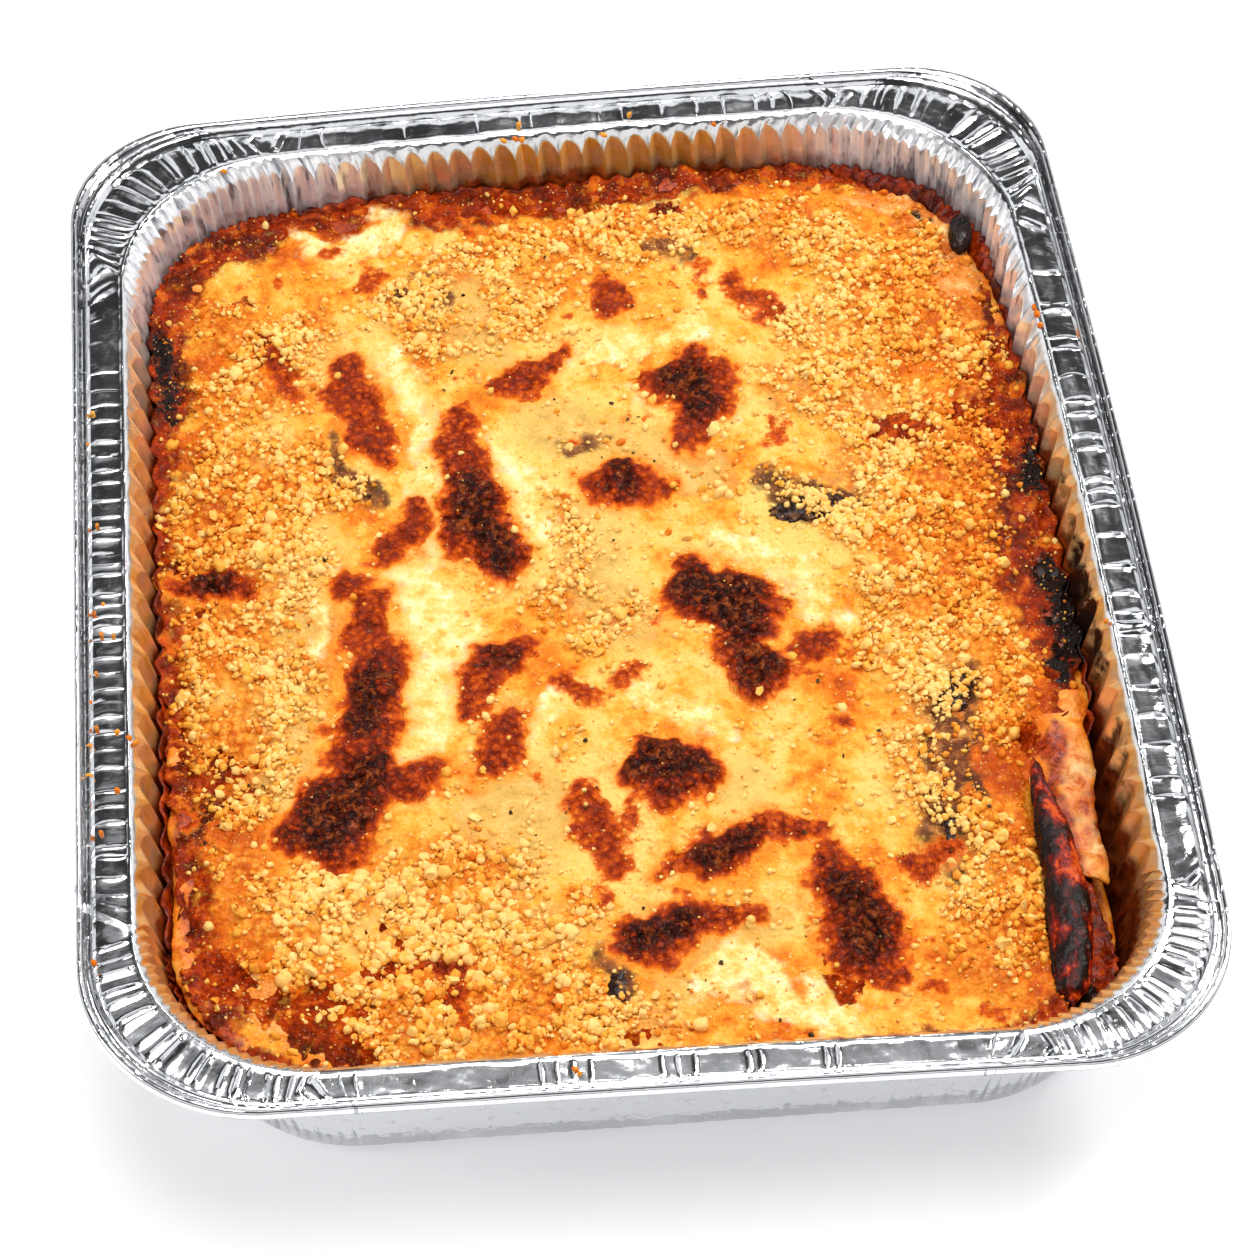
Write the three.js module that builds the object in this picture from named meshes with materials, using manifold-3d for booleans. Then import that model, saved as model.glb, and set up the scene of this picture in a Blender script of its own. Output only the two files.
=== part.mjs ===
// A baked, layered vegetable and pasta meal in its aluminium foil tray. Millimetres, +Z up, +X to the
// right, +Y to the back. The origin is at the middle of the whole thing's box, on the surface it stands on.
import * as THREE from "three";
import Module from "manifold-3d";
import { mergeVertices } from "three/addons/utils/BufferGeometryUtils.js";

const wasm = await Module();
wasm.setup();

// ---- Tray: driving dimensions ----
const RIM_WIDTH = 267;
const RIM_LENGTH = 321;
const TRAY_HEIGHT = 56;
const FLOOR_WIDTH = 215;
const FLOOR_LENGTH = 268;
const FOIL = 0.5; // wall of the solid, where the real foil is about 0.1 thick
const CURL_WIDTH = 3.7; // rolled outer edge of the rim
const CURL_HEIGHT = 3.6;
const FLANGE_DROP = 1.7; // flange below the top of the curl
const LIP_WIDTH = 3.4; // rounded edge between the flange and the fluted wall
const LIP_DROP = 6;
const FLOOR_FILLET = 4.5;
const FLUTE_DEPTH = 1.8;
const FLUTES_PER_SIDE = [23, 22, 23, 22]; // front, right, back, left
const FLUTES_PER_CORNER = 8;

// The handled foil is out of square. Each corner, in the order front left, front right, back right,
// back left, is moved from its place on a true rectangle, and has its own radius.
const RIM_CORNERS = [
  { dx: -0.1, dy: 2.5, radius: 43 },
  { dx: 0.4, dy: -0.4, radius: 39 },
  { dx: -4.9, dy: 1.2, radius: 34 },
  { dx: 2.0, dy: -8.6, radius: 34.5 },
];
const FLOOR_CORNERS = [
  { dx: 2.5, dy: -1.7, radius: 36 },
  { dx: 2.5, dy: -1.7, radius: 36 },
  { dx: 2.5, dy: 1.5, radius: 40 },
  { dx: 3.0, dy: -5.5, radius: 38 },
];
const LIP_RADII = [42, 40, 46, 44];
const LIP_INSETS = [11.2, 13.0, 13.5, 13.3]; // flange and curl together: front, right, back, left
const SIDE_BOWS = [-0.35, 1.39, 1.13, 0.03]; // outward bulge of the front, right, back and left sides

// ---- Food: driving dimensions ----
const WALL_GAP = 0.5; // between the food and the deepest reach of the flutes
const LAYER_GAP = 0.3;
const LOOSE_GAP = 0.4; // added to it where two neighbouring layers are uneven
const LOWER_FILLING_TOP = 24;
const SHEET_THICKNESS = 2;
const UPPER_FILLING_TOP = 33.6;
const FILLING_RIPPLE = 1.2;
const SAUCE_RISE = 2.2; // sauce baked on to the wall stands above the filling
const SHEET_EDGE_CURL = 2.4;
const CHEESE_TOP = 39.6;
const CHEESE_DOME = 1.6;
const CHEESE_RIPPLE = 1.5;
const CHEESE_LEAST = 1.2; // thickness where the cheese thins out
const CHEESE_EDGE_DROP = 1.8;

// Shares of the way out from the middle of the food to the wall.
const FLAT_CORE = 0.8; // inside it the hidden faces between the layers are flat
const SHARED_ROWS = [FLAT_CORE, 0.87, 0.93, 1];
const CHEESE_ROWS = [0.12, 0.24, 0.36, 0.48, 0.6, 0.7, 0.78, 0.85, 1];
const ROW_STEP = 0.004; // least distance between two rows

const TURN = 2 * Math.PI;
const LAP = 8; // an outline's parameter t runs from 0 to 8, as the next section says

// ---- Outlines ----
// An outline is a function of t. Corner i is t = 2i to 2i + 1, and the side after it 2i + 1 to 2i + 2.

function rectangleCorners(width, length, corners, [front, right, back, left] = [0, 0, 0, 0]) {
  const sideOfX = [-1, 1, 1, -1];
  const sideOfY = [-1, -1, 1, 1];
  const insetOfX = [left, -right, -right, left];
  const insetOfY = [front, front, -back, -back];
  return corners.map(({ dx, dy }, i) => {
    const x = (sideOfX[i] * width) / 2 + dx + insetOfX[i];
    const y = (sideOfY[i] * length) / 2 + dy + insetOfY[i];
    return new THREE.Vector2(x, y);
  });
}

function cornerArc(corner, last, next, radius) {
  const toLast = last.clone().sub(corner).normalize();
  const toNext = next.clone().sub(corner).normalize();
  const half = Math.acos(toLast.dot(toNext)) / 2;
  const middle = toLast.clone().add(toNext).normalize();
  const centre = corner.clone().addScaledVector(middle, radius / Math.sin(half));
  const start = corner.clone().addScaledVector(toLast, radius / Math.tan(half));
  const from = Math.atan2(start.y - centre.y, start.x - centre.x);
  return { centre, radius, from, sweep: Math.PI - 2 * half };
}

function arcPoint(arc, share) {
  const angle = arc.from + arc.sweep * share;
  const direction = new THREE.Vector2(Math.cos(angle), Math.sin(angle));
  return direction.multiplyScalar(arc.radius).add(arc.centre);
}

function roundedOutline(corners, radii, bows) {
  const neighbour = (i, step) => corners[(i + step + 4) % 4];
  const arcs = corners.map((corner, i) => cornerArc(corner, neighbour(i, -1), neighbour(i, 1), radii[i]));
  return (t) => {
    const i = Math.floor(t / 2) % 4;
    const share = t - 2 * Math.floor(t / 2);
    if (share <= 1) return arcPoint(arcs[i], share);
    const from = arcPoint(arcs[i], 1);
    const to = arcPoint(arcs[(i + 1) % 4], 0);
    const along = share - 1;
    const outward = new THREE.Vector2(to.y - from.y, from.x - to.x).normalize();
    return from.lerp(to, along).addScaledVector(outward, bows[i] * 4 * along * (1 - along));
  };
}

function outwardNormal(outline, t) {
  const step = 1e-3;
  const before = outline((t - step + LAP) % LAP);
  const after = outline((t + step) % LAP);
  return new THREE.Vector2(after.y - before.y, before.x - after.x).normalize();
}

const mix = (from, to, share) => from + (to - from) * share;

// The rim's outline, at a distance inside its outer edge that is full at the lip.
function flangeOutline(inset) {
  const share = inset / LIP_INSETS[3];
  const insets = LIP_INSETS.map((full) => full * share);
  const corners = rectangleCorners(RIM_WIDTH, RIM_LENGTH, RIM_CORNERS, insets);
  const radii = RIM_CORNERS.map(({ radius }, i) => mix(radius, LIP_RADII[i], share));
  return roundedOutline(corners, radii, SIDE_BOWS);
}

// The wall leans in evenly from the bottom of the lip to the floor.
const WALL_TOP = TRAY_HEIGHT - LIP_DROP;
const wallTopInsets = LIP_INSETS.map((inset) => inset + LIP_WIDTH);
const wallTopCorners = rectangleCorners(RIM_WIDTH, RIM_LENGTH, RIM_CORNERS, wallTopInsets);
const floorCorners = rectangleCorners(FLOOR_WIDTH, FLOOR_LENGTH, FLOOR_CORNERS);

function wallOutline(z, inset = 0) {
  const share = z / WALL_TOP;
  const inwardX = [1, -1, -1, 1];
  const inwardY = [1, 1, -1, -1];
  const corners = floorCorners.map((corner, i) => {
    const point = corner.clone().lerp(wallTopCorners[i], share);
    return point.add(new THREE.Vector2(inwardX[i] * inset, inwardY[i] * inset));
  });
  const radii = FLOOR_CORNERS.map(({ radius }, i) => mix(radius, LIP_RADII[i], share));
  const bows = SIDE_BOWS.map((bow) => bow * share);
  return roundedOutline(corners, radii, bows);
}

// ---- Rings and lofts ----
// A ring is one level of a closed body: its stops are values of t, and each has one point.

function evenStops(perCorner, perSide) {
  const stops = [];
  for (let i = 0; i < 4; i++) {
    for (let k = 0; k < perCorner; k++) stops.push(2 * i + k / perCorner);
    for (let k = 0; k < perSide[i]; k++) stops.push(2 * i + 1 + k / perSide[i]);
  }
  return stops;
}

function flatRing(outline, z, stops) {
  const points = stops.map((t) => {
    const { x, y } = outline(t);
    return new THREE.Vector3(x, y, z);
  });
  return { stops, points };
}

function flutedRing(outline, z, stops, depth) {
  const points = stops.map((t, k) => {
    const push = k % 2 === 0 ? depth / 2 : -depth / 2;
    const { x, y } = outline(t).addScaledVector(outwardNormal(outline, t), push);
    return new THREE.Vector3(x, y, z);
  });
  return { stops, points };
}

// The triangles between two rings that start at vertex first and second. Rings with different numbers of
// points are joined by their stops.
function band(near, far, first, second) {
  const faces = [];
  let i = 0;
  let j = 0;
  while (i < near.length || j < far.length) {
    const nextNear = i < near.length ? (near[i + 1] ?? LAP) : Infinity;
    const nextFar = j < far.length ? (far[j + 1] ?? LAP) : Infinity;
    const a = first + (i % near.length);
    const b = second + (j % far.length);
    if (nextFar <= nextNear) {
      faces.push([a, b, second + ((j + 1) % far.length)]);
      j++;
    } else {
      faces.push([a, b, first + ((i + 1) % near.length)]);
      i++;
    }
  }
  return faces;
}

// Joins a start point, rings and an end point into one closed body. Rings run counterclockwise from above,
// and the list starts at the middle of the top face.
function loft(start, rings, end) {
  const vertices = [start, ...rings.flatMap((ring) => ring.points), end];
  const firstCount = rings[0].points.length;
  const faces = rings[0].points.map((_, k) => [0, 1 + k, 1 + ((k + 1) % firstCount)]);
  let first = 1;
  for (let r = 0; r + 1 < rings.length; r++) {
    const second = first + rings[r].points.length;
    faces.push(...band(rings[r].stops, rings[r + 1].stops, first, second));
    first = second;
  }
  const count = rings.at(-1).points.length;
  const last = vertices.length - 1;
  for (let k = 0; k < count; k++) faces.push([last, first + ((k + 1) % count), first + k]);
  const geometry = new THREE.BufferGeometry().setFromPoints(vertices);
  geometry.setIndex(faces.flat());
  return geometry;
}

// ---- The tray ----

// Section of the rolled edge, from its inner foot over the top to its underside: the share of its width
// from the outer edge, and how far below the top.
const CURL_SECTION = [
  { share: 0.85, down: 0.4 },
  { share: 0.5, down: 0 },
  { share: 0.15, down: 0.4 },
  { share: 0, down: CURL_HEIGHT / 2 },
  { share: 0.15, down: CURL_HEIGHT },
  { share: 0.6, down: CURL_HEIGHT },
];
const FLOOR_BEND = { inset: FLOOR_FILLET * 0.45, rise: 1.1 }; // middle of the bend between floor and wall
const LIP_BEND = { inner: 0.45, outer: 0.35, innerOut: 1.4, outerOut: 1 }; // shares of the drop, and bulge

function trayGeometry() {
  const plain = evenStops(6, [5, 5, 5, 5]);
  const fluted = evenStops(2 * FLUTES_PER_CORNER, FLUTES_PER_SIDE.map((count) => 2 * count));
  const flange = TRAY_HEIGHT - FLANGE_DROP;
  const lip = LIP_INSETS[3];
  const floorInset = FLOOR_FILLET + 3;
  const floor = (z, inset) => flatRing(wallOutline(0, inset), z, plain);
  const rim = (inset, z) => flatRing(flangeOutline(inset), z, plain);
  const wall = (z, inset) => flutedRing(wallOutline(z, inset), z, fluted, FLUTE_DEPTH);
  const lipBend = (share, out) => {
    const z = WALL_TOP + LIP_DROP * share;
    return flatRing(wallOutline(z, -out), z, plain);
  };
  const inside = [
    floor(FOIL, floorInset),
    floor(FLOOR_BEND.rise + FOIL, FLOOR_BEND.inset),
    wall(FLOOR_FILLET + FOIL, 0),
    wall(WALL_TOP, 0),
    lipBend(LIP_BEND.inner, LIP_BEND.innerOut),
    rim(lip, flange),
    rim(CURL_WIDTH + 0.4, flange),
  ];
  const curl = CURL_SECTION.map(({ share, down }) => rim(CURL_WIDTH * share, TRAY_HEIGHT - down));
  const outside = [
    rim(CURL_WIDTH + 1, flange - FOIL),
    rim(lip - FOIL, flange - FOIL),
    lipBend(LIP_BEND.outer, LIP_BEND.outerOut),
    wall(WALL_TOP - FOIL, -FOIL),
    wall(FLOOR_FILLET, -FOIL),
    floor(FLOOR_BEND.rise, FLOOR_BEND.inset - FOIL),
    floor(0, floorInset),
  ];
  const top = new THREE.Vector3(0, 0, FOIL);
  return loft(top, [...inside, ...curl, ...outside], new THREE.Vector3(0, 0, 0));
}

// ---- Heights of the food ----

// Uneven surface made of three crossed waves, between about -1 and 1.
function waves(x, y, wavelength, seed) {
  const k = TURN / wavelength;
  const first = Math.sin(k * (x + 0.35 * y) + seed);
  const second = Math.sin(k * (0.85 * y - 0.45 * x) + 2.1 * seed);
  const third = Math.sin(k * 1.6 * (0.6 * x + 0.7 * y) + 3.7 * seed);
  return (first + second + third) / 3;
}

const smoothstep = THREE.MathUtils.smoothstep;

// A rounded hump of height 1 at t = centre, which falls to 0 at the given half width along the outline.
function hump(t, centre, halfWidth) {
  const half = LAP / 2;
  const distance = Math.abs(((t - centre + LAP + half) % LAP) - half);
  return 1 - smoothstep(distance, 0, halfWidth);
}

// How far out a point is decides how uneven a layer may be there: 0 in the flat core, 1 outside it.
const loose = (out) => smoothstep(out, FLAT_CORE, FLAT_CORE + 0.1);

function fillingHeight(x, y, out) {
  return UPPER_FILLING_TOP + loose(out) * FILLING_RIPPLE * waves(x, y, 70, 1.3);
}

function sauceHeight(x, y, out) {
  return fillingHeight(x, y, out) + smoothstep(out, 0.95, 1) * SAUCE_RISE;
}

// The edge of the top sheet stands off the filling and curls up beside the wall.
function sheetLift(x, y, out) {
  const curl = smoothstep(out, 0.91, 0.99) * SHEET_EDGE_CURL;
  return loose(out) * (1 + 0.4 * waves(x, y, 46, 0.4)) + curl;
}

const layerGap = (out) => LAYER_GAP + LOOSE_GAP * loose(out);
const topSheetUnderside = (x, y, out) => fillingHeight(x, y, out) + layerGap(out) + sheetLift(x, y, out);
const topSheetHeight = (x, y, out) => topSheetUnderside(x, y, out) + SHEET_THICKNESS;
const cheeseUnderside = (x, y, out) => topSheetHeight(x, y, out) + layerGap(out);

function cheeseHeight(x, y, out, reach) {
  const ripple = CHEESE_RIPPLE * waves(x, y, 62, 2.2) + 0.5 * waves(x, y, 27, 0.9);
  const dome = CHEESE_DOME * (1 - out * out);
  const edge = smoothstep(out / reach, 0.88, 1) * CHEESE_EDGE_DROP;
  const least = cheeseUnderside(x, y, out) + CHEESE_LEAST;
  return Math.max(CHEESE_TOP + dome + ripple - edge, least);
}

// ---- Layers of the food ----

// A layer. reach is how far out towards the wall it goes at each stop. Its top and its underside have rings
// of points on rows, shares of the way out with the last at its edge, and a height for each point.
// Neighbouring layers have their rings on the same rows, so that their faces lie side by side.
function layerGeometry({ stops, reach, top, underside }) {
  const ring = (wall, rows, k, height) => ({
    stops,
    points: stops.map((t) => {
      const beforeEdge = (rows.length - 1 - k) * ROW_STEP;
      const out = Math.min(rows[k], reach(t) - beforeEdge);
      const { x, y } = wall(t).multiplyScalar(out);
      return new THREE.Vector3(x, y, height(x, y, out, reach(t)));
    }),
  });
  const rings = ({ level, rows, height }) => {
    const wall = wallOutline(level, FLUTE_DEPTH / 2 + WALL_GAP);
    return rows.map((_, k) => ring(wall, rows, k, height));
  };
  const middle = ({ height }) => new THREE.Vector3(0, 0, height(0, 0, 0, 1));
  return loft(middle(top), [...rings(top), ...rings(underside).toReversed()], middle(underside));
}

// How far each layer stops short of the wall, in millimetres, with the stops where it does so.
const insetReach = (inset) => (t) => 1 - inset(t) / wallOutline(UPPER_FILLING_TOP)(t).length();
const FRONT_LEFT = 0.2;
const CORNER_GAP = 2.95; // in the front right corner the upper layers stop short of the wall
const RIGHT_SIDE = 3.8;
const BACK_RIGHT = 4.8;
const BACK_LEFT_SIDE = 6.1;

const ruffle = (t, count, seed) => Math.sin((count * TURN * t) / LAP + seed);

function lowerSheetInset(t) {
  return 1.5 + 1.2 * ruffle(t, 5, 0) ** 2;
}

function upperFillingInset(t) {
  return 11 * hump(t, CORNER_GAP, 0.5) + 0.6 * ruffle(t, 9, 0) ** 2;
}

function topSheetInset(t) {
  const wavy = 6 + 2.4 * ruffle(t, 3, 0.7) + 1.1 * ruffle(t, 11, 0);
  return wavy + 6 * hump(t, CORNER_GAP, 0.5) - 2.5 * hump(t, BACK_RIGHT, 0.6) - 2 * hump(t, FRONT_LEFT, 0.7);
}

function cheeseInset(t) {
  const wavy = 11 + 2.4 * ruffle(t, 2, 2.1) + 1.5 * ruffle(t, 7, 0.4);
  const recess = 3 * hump(t, RIGHT_SIDE, 0.8) + 3 * hump(t, BACK_LEFT_SIDE, 0.9);
  return wavy + recess + 9 * hump(t, CORNER_GAP, 0.9);
}

const level = (z) => () => z;
const fineStops = evenStops(6, [11, 13, 11, 13]);
const coarseStops = evenStops(6, [6, 7, 6, 7]);
const lowerSheetUnderside = LOWER_FILLING_TOP + LAYER_GAP;
const lowerSheetTop = lowerSheetUnderside + SHEET_THICKNESS;

function lowerFillingGeometry() {
  const roundedTop = (x, y, out) => LOWER_FILLING_TOP - 1.5 * smoothstep(out, 0.96, 1);
  const roundedFoot = (x, y, out) => FOIL + LAYER_GAP + 4.6 * smoothstep(out, 0.93, 1);
  return layerGeometry({
    stops: coarseStops,
    reach: () => 0.995,
    top: { level: LOWER_FILLING_TOP, rows: [0.96, 1], height: roundedTop },
    underside: { level: FLOOR_FILLET, rows: [0.93, 1], height: roundedFoot },
  });
}

function lowerSheetGeometry() {
  return layerGeometry({
    stops: coarseStops,
    reach: insetReach(lowerSheetInset),
    top: { level: lowerSheetTop, rows: [1], height: level(lowerSheetTop) },
    underside: { level: lowerSheetUnderside, rows: [1], height: level(lowerSheetUnderside) },
  });
}

function upperFillingGeometry() {
  const foot = lowerSheetTop + LAYER_GAP;
  return layerGeometry({
    stops: fineStops,
    reach: insetReach(upperFillingInset),
    top: { level: UPPER_FILLING_TOP, rows: SHARED_ROWS, height: sauceHeight },
    underside: { level: foot, rows: [1], height: level(foot) },
  });
}

function topSheetGeometry() {
  return layerGeometry({
    stops: fineStops,
    reach: insetReach(topSheetInset),
    top: { level: UPPER_FILLING_TOP, rows: SHARED_ROWS, height: topSheetHeight },
    underside: { level: UPPER_FILLING_TOP, rows: SHARED_ROWS, height: topSheetUnderside },
  });
}

function cheeseGeometry() {
  return layerGeometry({
    stops: fineStops,
    reach: insetReach(cheeseInset),
    top: { level: UPPER_FILLING_TOP, rows: CHEESE_ROWS, height: cheeseHeight },
    underside: { level: UPPER_FILLING_TOP, rows: SHARED_ROWS.slice(0, 3), height: cheeseUnderside },
  });
}

// ---- Toppings ----

// A small uneven lump, such as a piece of vegetable or a burnt olive, longest along its own X.
function lumpGeometry({ size, seed, grow = 0 }) {
  const ball = new THREE.IcosahedronGeometry(1, 1).deleteAttribute("uv").deleteAttribute("normal");
  const geometry = mergeVertices(ball);
  const radii = new THREE.Vector3(...size.map((full) => full / 2 + grow));
  const position = geometry.getAttribute("position");
  for (let i = 0; i < position.count; i++) {
    const point = new THREE.Vector3().fromBufferAttribute(position, i);
    const swell = 1 + 0.12 * waves(point.x, point.y + 0.5 * point.z, 1.9, seed);
    point.multiply(radii).multiplyScalar(swell);
    position.setXYZ(i, point.x, point.y, point.z);
  }
  return geometry;
}

// A ridge of charred pepper, from its thin end at the back to its broad end at the front.
const STRIP = { length: 70, width: 8.5, height: 6, steps: 9, sides: 8 };

function stripGeometry(grow = 0) {
  const rings = [];
  for (let k = 0; k <= STRIP.steps; k++) {
    const share = k / STRIP.steps;
    const swell = 0.35 + 0.65 * Math.sin(Math.PI * (0.12 + 0.8 * share)) + 0.12 * Math.sin(9 * share);
    const across = 1.2 * Math.sin(4.5 * share);
    const y = STRIP.length * (0.5 - share) + grow * (1 - 2 * share);
    const stops = Array.from({ length: STRIP.sides }, (_, i) => (LAP * i) / STRIP.sides);
    const points = stops.map((stop) => {
      const angle = (-TURN * stop) / LAP;
      const x = across + ((STRIP.width / 2) * swell + grow) * Math.cos(angle);
      const z = ((STRIP.height / 2) * swell + grow) * Math.sin(angle);
      return new THREE.Vector3(x, y, z);
    });
    rings.push({ stops, points });
  }
  const tip = STRIP.length / 2 + 1 + grow;
  return loft(new THREE.Vector3(0, tip, 0), rings, new THREE.Vector3(0, -tip, 0));
}

// Pieces of vegetable that stand in the cheese: middle, turn about Z in degrees, and length, width, height.
const LUMPS = [
  { name: "aubergine_piece_1", at: [53, 18, 40.2], turn: 8, size: [23, 11, 5], seed: 0.3 },
  { name: "aubergine_piece_2", at: [79.5, -42.5, 39.2], turn: 35, size: [16, 11, 4.5], seed: 1.1 },
  { name: "aubergine_piece_3", at: [75, -73, 38.8], turn: 86, size: [38, 7, 4.5], seed: 2.4 },
  { name: "aubergine_piece_4", at: [-8.5, -119.5, 38.2], turn: 82, size: [17, 7, 4.5], seed: 3.2 },
  { name: "burnt_olive", at: [103.9, 111.5, 39.8], turn: 80, size: [14, 7, 7], seed: 4.1 },
];
const STRIP_PLACE = { at: [97, -99, 39.2], turn: 0.6 };

function placed(geometry, { at, turn }) {
  geometry.rotateZ(THREE.MathUtils.degToRad(turn));
  return geometry.translate(...at);
}

// ---- Room for the toppings ----

function toSolid(geometry) {
  const merged = mergeVertices(geometry, 1e-4);
  const vertProperties = merged.getAttribute("position").array;
  const triVerts = new Uint32Array(merged.index.array);
  return new wasm.Manifold(new wasm.Mesh({ numProp: 3, vertProperties, triVerts }));
}

function toGeometry(solid) {
  const { numProp, numVert, vertProperties, triVerts } = solid.getMesh();
  const positions = new Float32Array(numVert * 3);
  for (let i = 0; i < numVert; i++) {
    positions.set(vertProperties.subarray(i * numProp, i * numProp + 3), i * 3);
  }
  const geometry = new THREE.BufferGeometry();
  geometry.setAttribute("position", new THREE.BufferAttribute(positions, 3));
  return geometry.setIndex(new THREE.BufferAttribute(triVerts, 1));
}

// Cuts room for each topping, with a gap round it, out of a layer, and keeps the layer's one large body.
const TOPPING_GAP = 0.42;
const cutters = [
  ...LUMPS.map((lump) => toSolid(placed(lumpGeometry({ ...lump, grow: TOPPING_GAP }), lump))),
  toSolid(placed(stripGeometry(TOPPING_GAP), STRIP_PLACE)),
];

function makeRoom(geometry) {
  const cut = cutters.reduce((solid, cutter) => solid.subtract(cutter), toSolid(geometry));
  const bodies = cut.decompose().sort((a, b) => b.volume() - a.volume());
  return toGeometry(bodies[0]);
}

// ---- Materials and assembly ----

function finish(color, roughness, metalness = 0) {
  return new THREE.MeshStandardMaterial({ color, roughness, metalness, flatShading: true });
}

const foil = finish(0xc9cbcd, 0.28, 1);
const tomatoFilling = finish(0xa8381a, 0.45);
const pasta = finish(0xe2a658, 0.5);
const cheese = finish(0xe9bf6a, 0.5);
const charredPepper = finish(0x7c2413, 0.45);
const aubergine = finish(0x2c2322, 0.4);
const burntOlive = finish(0x17110f, 0.25);

const group = new THREE.Group();

function addPiece(name, geometry, material) {
  const mesh = new THREE.Mesh(geometry, material);
  mesh.name = name;
  group.add(mesh);
}

addPiece("foil_tray", trayGeometry(), foil);
addPiece("filling_lower", lowerFillingGeometry(), tomatoFilling);
addPiece("pasta_sheet_lower", lowerSheetGeometry(), pasta);
addPiece("filling_upper", makeRoom(upperFillingGeometry()), tomatoFilling);
addPiece("pasta_sheet_top", makeRoom(topSheetGeometry()), pasta);
addPiece("cheese_layer", makeRoom(cheeseGeometry()), cheese);
addPiece("charred_pepper_strip", placed(stripGeometry(), STRIP_PLACE), charredPepper);
for (const lump of LUMPS) {
  const material = lump.name === "burnt_olive" ? burntOlive : aubergine;
  addPiece(lump.name, placed(lumpGeometry(lump), lump), material);
}

// The whole is moved so that the origin is at the middle of its box, on the surface it stands on.
const box = new THREE.Box3().setFromObject(group);
const centre = box.getCenter(new THREE.Vector3());
group.position.set(-centre.x, -centre.y, -box.min.z);

export default group;
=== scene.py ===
"""Finishes a baked, layered pasta and vegetable meal in its foil tray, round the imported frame.

Lengths in this file are in millimetres unless a property says otherwise; MM turns them into metres.
X points right, Y to the back and Z up, and the tray stands on Z = 0.
"""

import math

import bmesh
import bpy
import numpy as np
from bpy.props import FloatProperty, FloatVectorProperty, IntProperty, PointerProperty
from mathutils import Matrix, Vector, noise


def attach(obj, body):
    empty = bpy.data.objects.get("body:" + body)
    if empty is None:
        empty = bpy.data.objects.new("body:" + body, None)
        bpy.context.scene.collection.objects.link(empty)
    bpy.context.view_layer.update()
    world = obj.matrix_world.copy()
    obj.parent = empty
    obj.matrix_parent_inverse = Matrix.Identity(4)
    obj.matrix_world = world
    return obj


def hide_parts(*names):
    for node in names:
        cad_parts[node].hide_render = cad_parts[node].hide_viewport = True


bl_info = {
    "name": "Foil tray meal",
    "version": (1, 0, 0),
    "blender": (4, 5, 0),
    "location": "3D View > Sidebar > Tray meal",
    "description": "Builds the foil tray, the baked layers, the breadcrumbs and the stage",
    "category": "Object",
}

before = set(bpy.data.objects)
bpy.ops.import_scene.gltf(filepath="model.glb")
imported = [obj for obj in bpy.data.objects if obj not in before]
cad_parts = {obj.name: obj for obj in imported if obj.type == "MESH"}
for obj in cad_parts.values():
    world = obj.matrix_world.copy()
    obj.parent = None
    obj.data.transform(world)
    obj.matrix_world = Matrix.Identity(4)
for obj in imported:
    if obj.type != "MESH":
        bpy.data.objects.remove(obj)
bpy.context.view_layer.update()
MM = 0.001
TURN = 2 * math.pi

# ---- Tray dimensions, the same as the frame's ----
RIM_WIDTH = 267
RIM_LENGTH = 321
TRAY_HEIGHT = 56
FLOOR_WIDTH = 215
FLOOR_LENGTH = 268
FOIL = 0.5
FLANGE_Z = 54.3
WALL_TOP = 50
LIP_WIDTH = 3.4
FLUTE_DEPTH = 1.8
FLUTES_PER_SIDE = (23, 22, 23, 22)  # front, right, back, left
PLEATS_PER_CORNER = 22
RIM_CORNERS = ((-0.1, 2.5, 43), (0.4, -0.4, 39), (-4.9, 1.2, 34), (2.0, -8.6, 34.5))  # dx, dy, radius
FLOOR_CORNERS = ((2.5, -1.7, 36), (2.5, -1.7, 36), (2.5, 1.5, 40), (3.0, -5.5, 38))
LIP_RADII = (42, 40, 46, 44)
LIP_INSETS = (11.2, 13.0, 13.5, 13.3)  # front, right, back, left
SIDE_BOWS = (-0.35, 1.39, 1.13, 0.03)

# ---- Food dimensions, the same as the frame's ----
SHEET_THICKNESS = 2
UPPER_FILLING_FOOT = 26.6
UPPER_FILLING_TOP = 33.6
CHEESE_TOP = 39.6
FLAT_CORE = 0.8

# An outline's parameter t runs from 0 to LAP. Corner i is t = 2i to 2i + 1, and the side after it
# 2i + 1 to 2i + 2, in the order front left, front right, back right, back left.
LAP = 8
FRONT, RIGHT, BACK, LEFT = range(4)


# ---- Small maths ----


def smoothstep(value, low, high):
    share = np.clip((value - low) / (high - low), 0, 1)
    return share * share * (3 - 2 * share)


def mix(first, second, share):
    return first + (second - first) * share


def paint(red, green, blue):
    """A colour from 0 to 255 values as it is seen, in Blender's linear values."""
    seen = np.array([red, green, blue]) / 255
    linear = np.where(seen <= 0.04045, seen / 12.92, ((seen + 0.055) / 1.055) ** 2.4)
    return tuple(float(v) for v in linear)


NOISE_SIZE = 256


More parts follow.
